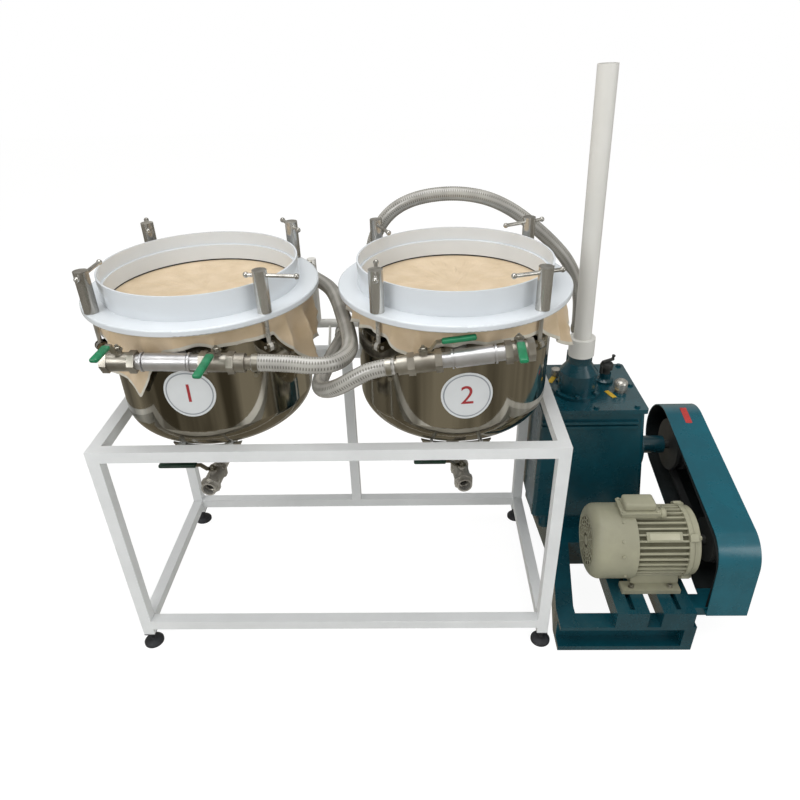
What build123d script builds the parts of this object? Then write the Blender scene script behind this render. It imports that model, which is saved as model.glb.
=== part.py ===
from build123d import *
from math import atan2, cos, degrees, hypot, radians, sin, sqrt, tan
import os

os.makedirs("parts", exist_ok=True)

# The machine: two vacuum filter tubs hung in a welded frame, beside a belt-driven vacuum pump.
# Millimetres, Z up, floor at zero, the frame's long front faces -Y.

# Where the frame's left front foot corner stands, so that the origin is below the machine's middle
frame_left = -832.0
frame_front = -266.5

# General clearances
seat_gap = 0.3
running_gap = 0.3

# Welded frame of square tube
frame_width = 1141.0
frame_depth = 555.0
tube_size = 30.0
tube_wall = 2.0
leg_bottom = 45.0
frame_top = 677.0
lower_rail_bottom = 65.5
foot_radius = 27.0
foot_dome_height = 16.0
foot_stem_radius = 6.0
foot_cap_thickness = 4.0

rail_bottom = frame_top - tube_size
frame_right = frame_left + frame_width
frame_back = frame_front + frame_depth
middle_leg_x = frame_left + frame_width / 2

# Filter tubs
tub_radius = 240.0
tub_wall_thickness = 3.0
tub_middle_y = frame_front + frame_depth / 2
left_tub_x = frame_left + 263.0
tub_spacing = 615.0
knuckle_z = 710.0
bowl_depth = 115.0
tub_rim_top = 964.0
tub_rim_radius = 256.0
tub_rim_thickness = 6.0
tubs = {"left": left_tub_x, "right": left_tub_x + tub_spacing}

# Filter stack on the tub's rim, from the bottom up
screen_thickness = 3.0
screen_radius = 250.0
screen_hole_radius = 6.0
cloth_thickness = 2.0
gasket_thickness = 4.0
gasket_inner_radius = 228.0
gasket_outer_radius = 246.0
screen_top = tub_rim_top + screen_thickness
cloth_top = screen_top + cloth_thickness
ring_bottom = cloth_top + gasket_thickness

# Cloth that hangs below the rim
cloth_radius = 258.0
cloth_hem_z = 938.0
# Each corner that hangs down: its angle, the height of its tip and half its width at the hem
cloth_corners = {
    "left": ((-118.0, 800.0, 70.0), (-15.0, 800.0, 75.0), (68.0, 850.0, 70.0), (157.0, 850.0, 70.0)),
    "right": ((-114.0, 885.0, 50.0), (-17.0, 840.0, 70.0), (68.0, 850.0, 70.0), (160.0, 850.0, 60.0)),
}

# Clamp ring: flange and collar
ring_radius = 282.0
ring_thickness = 16.0
ring_edge_fillet = 4.0
collar_radius = 235.0
collar_top = 1046.0
collar_step_z = 1012.0
collar_upper_bore = 231.0
collar_lower_bore = 226.0
ring_top = ring_bottom + ring_thickness

# Swing bolts and their T-handle nuts
bolt_circle = 267.0
bolt_radius = 5.0
bolt_hole_radius = 6.5
bolt_eye_radius = 11.0
bolt_eye_thickness = 10.0
lug_pin_z = 905.0
lug_pin_radius = 4.0
lug_ear_thickness = 5.0
lug_tip = 278.0
lug_height = 24.0
nut_radius = 16.0
nut_height = 96.0
nut_bore_radius = bolt_radius + running_gap
bolt_top = 1060.0
tommy_z = 1073.0
tommy_radius = 4.5
tommy_length = 112.0
tommy_ball_radius = 6.5
# Round each tub: the nut's name, its angle, the tommy bar's angle and how far the bar is slid
nuts = {
    "left": (("front_left", -139.0, 89.0, 34.0), ("front_right", -45.0, -8.0, 25.0),
             ("back_right", 42.0, -60.0, -9.0), ("back_left", 134.0, 112.0, 20.0)),
    "right": (("front_left", -132.0, 92.0, 22.0), ("front_right", -48.0, 18.0, -17.0),
              ("back_right", 41.0, 27.0, -16.0), ("back_left", 137.0, -67.0, 34.0)),
}

# Tub supports: gusset plates from the long rails to the bowls
gusset_thickness = 6.0
gusset_offset = 60.0

# Suction pipe across the front of each tub: slope, then stations along it from the tub's middle
pipe_y = frame_front
pipe_radius = 20.0
pipe_bore = 17.0
stub_radius = 17.0
suction = {
    "left": dict(z=914.0, slope=-1.5, sleeve=(-62.0, 30.0), vent=-116.0, hose=95.0, barb_end=168.0, hose_side=1),
    "right": dict(z=914.0, slope=7.0, sleeve=(-13.0, 69.0), vent=124.0, hose=-77.0, barb_end=-142.0, hose_side=-1),
}
valve_halves = {"left_vent": 37.0, "left_hose": 37.0, "right_vent": 31.0, "right_hose": 37.0, "drain": 37.0}
valve_body_radius = 21.0
valve_hex_width = 44.0
valve_hex_length = 15.0
valve_stem_radius = 9.0
valve_stem_height = 27.0
barb_radius = 15.5
barb_bore = 11.0
ferrule_radius = 21.0
ferrule_length = 22.0
hose_radius = 19.0
hose_bore = 16.0

# Ball valve lever
lever_hub_radius = 11.0
lever_thickness = 3.0
lever_width = 16.0
lever_grip_start = 42.0
lever_grip_width = 19.0
lever_grip_thickness = 9.0
lever_nut_radius = 7.0
lever_nut_height = 7.0
# Each lever: the angle it points to, its length and how far its grip is cranked up
levers = {
    "left": dict(vent=(-91.0, 104.0, 26.0), hose=(-91.5, 134.0, 9.0), drain=(180.0, 138.0, 12.0)),
    "right": dict(vent=(-93.0, 120.0, 9.0), hose=(0.0, 114.0, 16.0), drain=(180.0, 122.0, 12.0)),
}

# Drain below each bowl
drain_heights = {"left": 517.0, "right": 521.0}
drain_radius = 17.0
drain_bore = 13.0
drain_bend_radius = 34.0
drain_valve_reach = 167.0
drain_mouth_reach = 217.0
drain_turns = {"left": -3.0, "right": 6.0}
drain_socket_radius = 15.15
drain_socket_depth = 19.0
drain_nozzle_radius = 19.0

# Vacuum header behind the tubs
header_radius = 13.5
header_y = frame_front + 620.0
header_z = 721.0
header_left = frame_left + 478.0
header_right = frame_left + 652.0
header_riser_top = 915.0
branch_x = frame_left + 560.0
arch_socket_top = 800.0

# Pump base
base_left = frame_left + 1168.0
base_right = frame_left + 1537.0
base_front = frame_front - 23.0
base_back = frame_front + 655.0
base_height = 93.0
base_web = 12.0
base_lip = 16.0
pedestal_top = 150.0
slide_top = 146.0
slide_width = 87.0
slide_slot = 14.0
slide_length = 250.0
slide_centres = (frame_left + 1359.0, frame_left + 1483.0)

# Pump tank
plate_left = frame_left + 1150.0
plate_right = frame_left + 1450.0
plate_front = frame_front + 362.0
plate_back = frame_front + 645.0
plate_top = 550.0
plate_thickness = 14.0
tank_inset = 8.0
tank_top = (frame_left + 1148.0, frame_left + 1444.0)
tank_foot = (frame_left + 1146.5, frame_left + 1490.0)
tank_corner = 12.0
rib_right = frame_left + 1427.0
rib_heights = (487.0, 502.0)
rib_height = 8.0
rib_depth = 9.0
shaft_y = frame_front + 499.0
shaft_z = 334.0

# Exhaust
exhaust_x = frame_left + 1265.0
exhaust_y = frame_front + 477.0
exhaust_radius = 55.0
exhaust_flange_radius = 70.0
exhaust_flange_thickness = 10.0
exhaust_cylinder_top = 621.0
exhaust_cone_top = 650.0
exhaust_neck_radius = 34.0
exhaust_neck_top = 673.0
vent_socket_radius = 37.0
vent_socket_height = 55.0
vent_pipe_radius = 25.0
vent_pipe_wall = 2.5
vent_pipe_top = 1432.0
vent_pipe_lean = 2.0

# Belt guard
guard_inner_x = frame_left + 1572.0
guard_outer_x = frame_left + 1683.0
guard_wall = 3.0
guard_half_width = 112.0
guard_far = (frame_front + 546.0, 325.0)
guard_slope = 12.5
guard_front_y = frame_front + 24.0
guard_bottom = 99.0
guard_foot_thickness = 14.0

# Motor
motor_x = frame_left + 1425.0
motor_y = frame_front + 148.5
motor_shaft_height = 106.5
motor_z = slide_top + motor_shaft_height
motor_radius = 98.0
body_radius = 90.0
cover_radius = 105.0
cover_left = frame_left + 1257.0
cover_right = frame_left + 1372.0
body_right = frame_left + 1515.0
shield_right = frame_left + 1546.0
motor_pulley_radius = 62.0
terminal_x = frame_left + 1384.0
terminal_length = 106.0
terminal_width = 82.0
terminal_height = 66.0
pump_pulley_radius = 82.0


def save(builder, name):
    builder.part.label = name
    export_step(builder.part, f"parts/{name}.step")


def mitred_bar(length, along_y, start, level):
    """One hollow square bar of the top frame, cut at 45 degrees at both ends, on plane coordinates."""
    inner = tube_size - tube_wall

    def outline(near, far):
        corners = ((near, near), (length - near, near), (length - far, far), (far, far))
        if along_y:
            corners = tuple((v, u) for u, v in corners)
        return corners

    x0, y0, side = start
    with BuildPart() as bar:
        for near, far, low, high, mode in (
            (0.0, tube_size, level, level + tube_size, Mode.ADD),
            (tube_wall, inner, level + tube_wall, level + inner, Mode.SUBTRACT),
        ):
            points = [(x0 + u * (side if along_y else 1), y0 + v * (1 if along_y else side)) for u, v in outline(near, far)]
            with BuildSketch(Plane.XY.offset(low)):
                with BuildLine():
                    Polyline(*points, close=True)
                make_face()
            extrude(amount=high - low, mode=mode)
    return bar.part


def square_tube(plane, length):
    """One straight hollow square tube from a plane through its middle line."""
    with BuildPart() as bar:
        with BuildSketch(plane):
            Rectangle(tube_size, tube_size)
            Rectangle(tube_size - 2 * tube_wall, tube_size - 2 * tube_wall, mode=Mode.SUBTRACT)
        extrude(amount=length)
    return bar.part


half_tube = tube_size / 2
leg_xs = (frame_left + half_tube, frame_right - half_tube)
leg_ys = (frame_front + half_tube, frame_back - half_tube)
lower_rail_z = lower_rail_bottom + half_tube

# Front and back of the frame: a mitred top bar and a lower bar between the legs
for name, bar_y, start in (
    ("frame_front", leg_ys[0], (frame_left, frame_front, 1)),
    ("frame_back", leg_ys[1], (frame_left, frame_back, -1)),
):
    with BuildPart() as long_side:
        add(mitred_bar(frame_width, False, start, rail_bottom))
        add(square_tube(Plane((frame_left + tube_size, bar_y, lower_rail_z), z_dir=(1, 0, 0)), frame_width - 2 * tube_size))
    save(long_side, name)

# Short sides of the frame
with BuildPart() as frame_sides:
    for bar_x, start in ((leg_xs[0], (frame_left, frame_front, 1)), (leg_xs[1], (frame_right, frame_front, -1))):
        add(mitred_bar(frame_depth, True, start, rail_bottom))
        add(square_tube(Plane((bar_x, frame_front + tube_size, lower_rail_z), z_dir=(0, 1, 0)), frame_depth - 2 * tube_size))
save(frame_sides, "frame_sides")

# Four corner legs, and the middle leg between the back bars
with BuildPart() as frame_legs:
    for leg_x in leg_xs:
        for leg_y in leg_ys:
            add(square_tube(Plane((leg_x, leg_y, leg_bottom)), rail_bottom - leg_bottom))
    add(square_tube(Plane((middle_leg_x, leg_ys[1], lower_rail_bottom + tube_size)),
                    rail_bottom - lower_rail_bottom - tube_size))
save(frame_legs, "frame_legs")

# Levelling feet: rubber dome, stem and the cap that closes the leg
with BuildPart() as frame_feet:
    for leg_x in leg_xs:
        for leg_y in leg_ys:
            with BuildSketch(Plane((leg_x, leg_y, 0), z_dir=(0, -1, 0), x_dir=(1, 0, 0))):
                with BuildLine():
                    Polyline((0, 0), (foot_radius, 0), (foot_radius, 5))
                    ThreePointArc((foot_radius, 5), (foot_radius * 0.72, 12.5), (foot_stem_radius + 2, foot_dome_height))
                    Polyline((foot_stem_radius + 2, foot_dome_height), (foot_stem_radius, foot_dome_height + 2),
                             (foot_stem_radius, leg_bottom - foot_cap_thickness), (0, leg_bottom - foot_cap_thickness), (0, 0))
                make_face()
            revolve(axis=Axis((leg_x, leg_y, 0), (0, 0, 1)))
            with BuildSketch(Plane((leg_x, leg_y, leg_bottom - foot_cap_thickness))):
                Rectangle(tube_size, tube_size)
            extrude(amount=foot_cap_thickness)
save(frame_feet, "frame_feet")


def polar(cx, radius, angle):
    return (cx + radius * cos(radians(angle)), tub_middle_y + radius * sin(radians(angle)))


def pipe_plane(side, station, across=0.0):
    """A plane square to a suction pipe, at a station along it from the tub's middle."""
    data = suction[side]
    slope = radians(data["slope"])
    origin = (tubs[side] + station * cos(slope), pipe_y + across, data["z"] + station * sin(slope))
    return Plane(origin, x_dir=(0, 1, 0), z_dir=(cos(slope), 0, sin(slope)))


def lever_solid(hub, seat, angle, lever_length, lever_rise):
    """A valve lever: hub, cranked steel strip and sleeve grip, turned by an angle about the stem's axis."""
    along = seat.x_dir * cos(radians(angle)) + seat.y_dir * sin(radians(angle))
    side = Plane(hub, x_dir=along, z_dir=along.cross(seat.z_dir))
    top = Plane(hub, x_dir=along, z_dir=seat.z_dir)
    with BuildPart() as lever:
        with BuildSketch(top):
            Circle(lever_hub_radius)
        extrude(amount=lever_thickness)
        with BuildSketch(side):
            with BuildLine():
                Polyline((0, 0), (16, 0), (lever_grip_start - 10, lever_rise), (lever_length - 4, lever_rise),
                         (lever_length - 4, lever_rise + lever_thickness), (lever_grip_start - 11, lever_rise + lever_thickness),
                         (15, lever_thickness), (0, lever_thickness), close=True)
            make_face()
        extrude(amount=lever_width / 2, both=True)
        with BuildSketch(side.offset(-lever_grip_width / 2)):
            with Locations(((lever_grip_start + lever_length) / 2, lever_rise + lever_thickness / 2)):
                SlotOverall(lever_length - lever_grip_start, lever_grip_thickness)
        extrude(amount=lever_grip_width)
        with BuildSketch(top.offset(lever_thickness)):
            RegularPolygon(lever_nut_radius, 6)
        extrude(amount=lever_nut_height)
    return lever.part


def stem_seat(origin, slope_degrees):
    """A plane at a valve's middle, with its z along the stem and its x along the sloping pipe."""
    slope = radians(slope_degrees)
    return Plane(origin, x_dir=(cos(slope), 0, sin(slope)), z_dir=(-sin(slope), 0, cos(slope)))


def valve_body(plane_at, valve_half, stem_base):
    """Ball valve body along a line of planes, with hexagon ends and a round stem boss on top."""
    with BuildPart() as body:
        with BuildSketch(plane_at(-valve_half)):
            RegularPolygon(valve_hex_width / 2, 6, major_radius=False)
        extrude(amount=valve_hex_length)
        with BuildSketch(plane_at(-valve_half + valve_hex_length)):
            Circle(valve_body_radius)
        extrude(amount=2 * (valve_half - valve_hex_length))
        with BuildSketch(plane_at(valve_half - valve_hex_length)):
            RegularPolygon(valve_hex_width / 2, 6, major_radius=False)
        extrude(amount=valve_hex_length)
        with BuildSketch(stem_base):
            Circle(valve_stem_radius)
        extrude(amount=valve_stem_height)
    return body.part


for side, cx in tubs.items():
    data = suction[side]
    axis = Axis((cx, tub_middle_y, 0), (0, 0, 1))
    profile = Plane((cx, tub_middle_y, 0), x_dir=(1, 0, 0), z_dir=(0, -1, 0))
    inner_radius = tub_radius - tub_wall_thickness

    # Tub wall with its rim flange, its suction port and the welded ears of the swing bolts
    with BuildPart() as tub_wall:
        with BuildSketch(Plane((cx, tub_middle_y, knuckle_z))):
            Circle(tub_radius)
            Circle(inner_radius, mode=Mode.SUBTRACT)
        extrude(amount=tub_rim_top - knuckle_z)
        with BuildSketch(Plane((cx, tub_middle_y, tub_rim_top - tub_rim_thickness))):
            Circle(tub_rim_radius)
            Circle(inner_radius, mode=Mode.SUBTRACT)
        extrude(amount=tub_rim_thickness)
        for nut_name, angle, bar_angle, slid in nuts[side]:
            radial = Vector(cos(radians(angle)), sin(radians(angle)), 0)
            across = Vector(-radial.Y, radial.X, 0)
            for sign in (-1, 1):
                near = bolt_eye_thickness / 2 + seat_gap
                start = Vector(cx, tub_middle_y, lug_pin_z) + across * (near if sign > 0 else -near - lug_ear_thickness)
                with BuildSketch(Plane(start, x_dir=radial, z_dir=across)):
                    with Locations(((tub_radius - 1 + bolt_circle) / 2, 0)):
                        Rectangle(bolt_circle - tub_radius + 1, lug_height)
                    with Locations((bolt_circle, 0)):
                        Circle(lug_height / 2)
                        Circle(lug_pin_radius + seat_gap, mode=Mode.SUBTRACT)
                extrude(amount=lug_ear_thickness)
        with BuildSketch(Plane((cx, tub_middle_y, data["z"]), x_dir=(1, 0, 0), z_dir=(0, -1, 0))):
            Circle(stub_radius + seat_gap)
        extrude(amount=tub_radius + 5, mode=Mode.SUBTRACT)
    save(tub_wall, f"tub_wall_{side}")

    # Dished bottom with the drain outlet's socket
    with BuildPart() as tub_bottom:
        with BuildSketch(profile):
            with BuildLine():
                outer = EllipticalCenterArc((0, knuckle_z), tub_radius, bowl_depth, 270, arc_size=90)
                inner = EllipticalCenterArc((0, knuckle_z), inner_radius, bowl_depth - tub_wall_thickness, 270, arc_size=90)
                Line((tub_radius, knuckle_z), (inner_radius, knuckle_z))
                Line((0, knuckle_z - bowl_depth), (0, knuckle_z - bowl_depth + tub_wall_thickness))
            make_face()
        revolve(axis=axis)
        with BuildSketch(Plane((cx, tub_middle_y, knuckle_z - bowl_depth - 12))):
            Circle(drain_radius + 8)
        extrude(amount=14)
        with BuildSketch(Plane((cx, tub_middle_y, knuckle_z - bowl_depth - 13))):
            Circle(drain_radius + seat_gap)
        extrude(amount=30, mode=Mode.SUBTRACT)
    save(tub_bottom, f"tub_bottom_{side}")

    # Support screen under the cloth
    with BuildPart() as screen:
        with BuildSketch(Plane((cx, tub_middle_y, tub_rim_top))):
            Circle(screen_radius)
            for count, ring in ((6, 80.0), (6, 160.0)):
                with PolarLocations(ring, count):
                    Circle(screen_hole_radius, mode=Mode.SUBTRACT)
        extrude(amount=screen_thickness)
    save(screen, f"filter_screen_{side}")

    # Filter cloth: the flat disc, the hanging edge and its lower corners
    with BuildPart() as cloth:
        with BuildSketch(Plane((cx, tub_middle_y, screen_top))):
            Circle(cloth_radius + cloth_thickness)
        extrude(amount=cloth_thickness)
        with BuildSketch(Plane((cx, tub_middle_y, cloth_hem_z))):
            Circle(cloth_radius + cloth_thickness)
            Circle(cloth_radius, mode=Mode.SUBTRACT)
        extrude(amount=screen_top - cloth_hem_z)
        for corner, corner_z, corner_half_width in cloth_corners[side]:
            radial = Vector(cos(radians(corner)), sin(radians(corner)), 0)
            with BuildPart(mode=Mode.PRIVATE) as flap:
                with BuildSketch(Plane((cx, tub_middle_y, 0), x_dir=Vector(-radial.Y, radial.X, 0), z_dir=radial)):
                    with BuildLine():
                        Polyline((-corner_half_width, cloth_hem_z + 4), (corner_half_width, cloth_hem_z + 4),
                                 (12, corner_z), (-12, corner_z), close=True)
                    make_face()
                extrude(amount=cloth_radius + 40)
                with BuildSketch(Plane((cx, tub_middle_y, corner_z - 5))):
                    Circle(cloth_radius + cloth_thickness)
                    Circle(cloth_radius, mode=Mode.SUBTRACT)
                extrude(amount=screen_top - corner_z, mode=Mode.INTERSECT)
            add(flap.part)
    save(cloth, f"filter_cloth_{side}")

    # Gasket between the cloth and the clamp ring
    with BuildPart() as gasket:
        with BuildSketch(Plane((cx, tub_middle_y, cloth_top))):
            Circle(gasket_outer_radius)
            Circle(gasket_inner_radius, mode=Mode.SUBTRACT)
        extrude(amount=gasket_thickness)
    save(gasket, f"gasket_{side}")

    # Clamp ring: flange with holes for the swing bolts, and the upright collar with its inner step
    with BuildPart() as ring:
        with BuildSketch(profile):
            with BuildLine():
                Polyline((collar_lower_bore, ring_bottom), (ring_radius, ring_bottom), (ring_radius, ring_top),
                         (collar_radius, ring_top), (collar_radius, collar_top), (collar_upper_bore, collar_top),
                         (collar_upper_bore, collar_step_z), (collar_lower_bore, collar_step_z), close=True)
            make_face()
        revolve(axis=axis)
        fillet(ring.edges().filter_by(GeomType.CIRCLE).filter_by(lambda e: abs(e.radius - ring_radius) < 0.01), ring_edge_fillet)
        for nut_name, angle, bar_angle, slid in nuts[side]:
            bx, by = polar(cx, bolt_circle, angle)
            with BuildSketch(Plane((bx, by, ring_bottom - 1))):
                Circle(bolt_hole_radius)
            extrude(amount=ring_thickness + 2, mode=Mode.SUBTRACT)
    save(ring, f"clamp_ring_{side}")

    # Swing bolts: eye, pin and threaded stem
    with BuildPart() as bolts:
        for nut_name, angle, bar_angle, slid in nuts[side]:
            radial = Vector(cos(radians(angle)), sin(radians(angle)), 0)
            across = Vector(-radial.Y, radial.X, 0)
            bx, by = polar(cx, bolt_circle, angle)
            pin_half = bolt_eye_thickness / 2 + seat_gap + lug_ear_thickness + 2
            pin_middle = Vector(bx, by, lug_pin_z)
            with BuildSketch(Plane(pin_middle - across * bolt_eye_thickness / 2, x_dir=radial, z_dir=across)):
                Circle(bolt_eye_radius)
            extrude(amount=bolt_eye_thickness)
            with BuildSketch(Plane(pin_middle - across * pin_half, x_dir=radial, z_dir=across)):
                Circle(lug_pin_radius)
            extrude(amount=2 * pin_half)
            with BuildSketch(Plane((bx, by, lug_pin_z))):
                Circle(bolt_radius)
            extrude(amount=bolt_top - lug_pin_z)
    save(bolts, f"swing_bolts_{side}")

    # T-handle nuts: long sleeve with a sliding tommy bar
    for nut_name, angle, bar_angle, slid in nuts[side]:
        bx, by = polar(cx, bolt_circle, angle)
        bar = Vector(cos(radians(bar_angle)), sin(radians(bar_angle)), 0)
        bar_start = Vector(bx, by, tommy_z) + bar * (slid - tommy_length / 2)
        with BuildPart() as nut:
            with BuildSketch(Plane((bx, by, ring_top + seat_gap))):
                Circle(nut_radius)
            extrude(amount=nut_height - seat_gap)
            with BuildSketch(Plane((bx, by, ring_top + seat_gap))):
                Circle(nut_bore_radius)
            extrude(amount=bolt_top - ring_top + 4, mode=Mode.SUBTRACT)
            reach = sqrt(tommy_ball_radius**2 - tommy_radius**2)
            with BuildSketch(Plane(bar_start, x_dir=bar, z_dir=bar.cross(Vector(0, 0, 1)))):
                with BuildLine():
                    Line((-tommy_ball_radius, 0), (tommy_length + tommy_ball_radius, 0))
                    ThreePointArc((-tommy_ball_radius, 0), (0, tommy_ball_radius), (reach, tommy_radius))
                    Line((reach, tommy_radius), (tommy_length - reach, tommy_radius))
                    ThreePointArc((tommy_length - reach, tommy_radius), (tommy_length, tommy_ball_radius),
                                  (tommy_length + tommy_ball_radius, 0))
                make_face()
            revolve(axis=Axis(bar_start, bar))
        save(nut, f"nut_{side}_{nut_name}")

    # Suction pipe: polished sleeve with end rings, welded to the tub by a stub
    sleeve_start, sleeve_end = data["sleeve"]
    first, last = (data["vent"], data["hose"]) if side == "left" else (data["hose"], data["vent"])
    near, far = ("vent", "hose") if side == "left" else ("hose", "vent")
    pipe_start = first + valve_halves[f"{side}_{near}"]
    pipe_end = last - valve_halves[f"{side}_{far}"]
    with BuildPart() as suction_pipe:
        with BuildSketch(pipe_plane(side, pipe_start)):
            Circle(pipe_radius - 3)
        extrude(amount=pipe_end - pipe_start)
        with BuildSketch(pipe_plane(side, sleeve_start)):
            Circle(pipe_radius)
        extrude(amount=sleeve_end - sleeve_start)
        for station in (sleeve_start - 7, sleeve_end + 3):
            if pipe_start + 5 < station + 4 < pipe_end:
                with BuildSketch(pipe_plane(side, station)):
                    Circle(pipe_radius + 1.5)
                extrude(amount=4)
        with BuildSketch(Plane((cx, pipe_y, data["z"]), x_dir=(1, 0, 0), z_dir=(0, 1, 0))):
            Circle(stub_radius)
        extrude(amount=tub_middle_y - pipe_y - inner_radius + 8)
        with BuildSketch(pipe_plane(side, pipe_start)):
            Circle(pipe_bore - 3)
        extrude(amount=pipe_end - pipe_start, mode=Mode.SUBTRACT)
        with BuildSketch(Plane((cx, pipe_y, data["z"]), x_dir=(1, 0, 0), z_dir=(0, 1, 0))):
            Circle(stub_radius - 4)
        extrude(amount=tub_middle_y - pipe_y, mode=Mode.SUBTRACT)
    save(suction_pipe, f"suction_pipe_{side}")

    # The two valve bodies on the suction pipe, the hose side with its barb and ferrule
    hand = data["hose_side"]
    with BuildPart() as valves:
        for kind in ("vent", "hose"):
            station = data[kind]
            seat = stem_seat(pipe_plane(side, station).origin, data["slope"])
            add(valve_body(lambda s: pipe_plane(side, station + s), valve_halves[f"{side}_{kind}"], seat))
        barb_start = data["hose"] + hand * valve_halves[f"{side}_hose"]
        barb_length = abs(data["barb_end"] - barb_start)
        low = min(barb_start, data["barb_end"])
        with BuildSketch(pipe_plane(side, low)):
            Circle(barb_radius)
        extrude(amount=barb_length)
        with BuildSketch(pipe_plane(side, barb_start if hand > 0 else barb_start - ferrule_length)):
            Circle(ferrule_radius)
        extrude(amount=ferrule_length)
        for kind in ("vent", "hose"):
            valve_half = valve_halves[f"{side}_{kind}"]
            with BuildSketch(pipe_plane(side, data[kind] - valve_half - (0 if kind == "vent" or hand > 0 else barb_length + 1))):
                Circle(barb_bore)
            extrude(amount=2 * valve_half + (0 if kind == "vent" else barb_length + 1), mode=Mode.SUBTRACT)
    save(valves, f"suction_valves_{side}")

    # Levers of the two suction valves
    for kind in ("vent", "hose"):
        seat = stem_seat(pipe_plane(side, data[kind]).origin, data["slope"])
        top = seat.origin + seat.z_dir * (valve_stem_height + running_gap)
        lever = lever_solid(top, seat, *levers[side][kind])
        lever.label = f"{kind}_lever_{side}"
        export_step(lever, f"parts/{kind}_lever_{side}.step")

    # Drain: outlet, bend, horizontal run, valve and open nozzle
    turn = radians(drain_turns[side])
    forward = Vector(sin(turn), -cos(turn), 0)
    corner = Vector(cx, tub_middle_y, drain_heights[side])
    valve_half = valve_halves["drain"]
    drain_top = knuckle_z - bowl_depth + 6
    with BuildPart() as drain:
        with BuildLine():
            FilletPolyline(Vector(cx, tub_middle_y, drain_top), corner, corner + forward * (drain_valve_reach - valve_half),
                           radius=drain_bend_radius)
        with BuildSketch(Plane((cx, tub_middle_y, drain_top), z_dir=(0, 0, -1))):
            Circle(drain_radius)
            Circle(drain_bore, mode=Mode.SUBTRACT)
        sweep()

        def drain_plane(s):
            return Plane(corner + forward * (drain_valve_reach + s), x_dir=(0, 0, 1), z_dir=forward)

        drain_seat = Plane(corner + forward * drain_valve_reach)
        add(valve_body(drain_plane, valve_half, drain_seat))
        with BuildSketch(drain_plane(valve_half)):
            Circle(drain_nozzle_radius)
        extrude(amount=drain_mouth_reach - drain_valve_reach - valve_half)
        with BuildSketch(drain_plane(-valve_half)):
            Circle(drain_bore)
        extrude(amount=drain_mouth_reach - drain_valve_reach + valve_half, mode=Mode.SUBTRACT)
        with BuildSketch(drain_plane(drain_mouth_reach - drain_valve_reach - drain_socket_depth)):
            Circle(drain_socket_radius)
        extrude(amount=drain_socket_depth, mode=Mode.SUBTRACT)
    save(drain, f"drain_{side}")

    lever_top = drain_seat.origin + Vector(0, 0, valve_stem_height + running_gap)
    lever = lever_solid(lever_top, drain_seat, *levers[side]["drain"])
    lever.label = f"drain_lever_{side}"
    export_step(lever, f"parts/drain_lever_{side}.step")

# Gusset plates that carry the bowls from the long rails
with BuildPart() as supports:
    for cx in tubs.values():
        for beside in (-gusset_offset, gusset_offset):
            for sign in (-1, 1):
                rail_face = tub_middle_y + sign * (frame_depth / 2 - tube_size)
                inward = -sign
                with BuildSketch(Plane((cx + beside - gusset_thickness / 2, 0, 0), x_dir=(0, 1, 0), z_dir=(1, 0, 0))):
                    with BuildLine():
                        Polyline((rail_face, rail_bottom + 25), (rail_face, rail_bottom + 3),
                                 (rail_face + inward * 62, rail_bottom - 25), (rail_face + inward * 92, rail_bottom - 17), close=True)
                    make_face()
                extrude(amount=gusset_thickness)
    for cx in tubs.values():
        with BuildSketch(Plane((cx, tub_middle_y, 0), x_dir=(1, 0, 0), z_dir=(0, -1, 0))):
            with BuildLine():
                EllipticalCenterArc((0, knuckle_z), tub_radius + seat_gap, bowl_depth + seat_gap, 270, arc_size=90)
                Line((tub_radius + seat_gap, knuckle_z), (0, knuckle_z))
                Line((0, knuckle_z), (0, knuckle_z - bowl_depth - seat_gap))
            make_face()
        revolve(axis=Axis((cx, tub_middle_y, 0), (0, 0, 1)), mode=Mode.SUBTRACT)
save(supports, "tub_supports")

# Vacuum header behind the tubs, with its riser, branch, arch socket and two brackets to the back rail
with BuildPart() as header:
    with BuildSketch(Plane((header_left - header_radius, header_y, header_z), z_dir=(1, 0, 0))):
        Circle(header_radius)
    extrude(amount=header_right - header_left + 2 * header_radius)
    with BuildSketch(Plane((header_left, header_y, header_z))):
        Circle(header_radius)
    extrude(amount=header_riser_top - header_z + header_radius)
    with BuildSketch(Plane((header_left, header_y, header_riser_top), z_dir=(0, -1, 0))):
        Circle(header_radius)
    extrude(amount=50)
    with BuildSketch(Plane((branch_x, header_y, header_z), z_dir=(0, -1, 0))):
        Circle(header_radius)
    extrude(amount=50)
    with BuildSketch(Plane((header_right, header_y, header_z))):
        Circle(header_radius)
    extrude(amount=arch_socket_top - header_z)
    for bracket_x in (header_left + 40, header_right - 40):
        with BuildSketch(Plane((bracket_x - 3, 0, 0), x_dir=(0, 1, 0), z_dir=(1, 0, 0))):
            with BuildLine():
                Polyline((frame_back, frame_top - 4), (frame_back, frame_top - 26), (header_y - 4, header_z - 12),
                         (header_y - 10, header_z), close=True)
            make_face()
        extrude(amount=6)
save(header, "vacuum_header")

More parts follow.
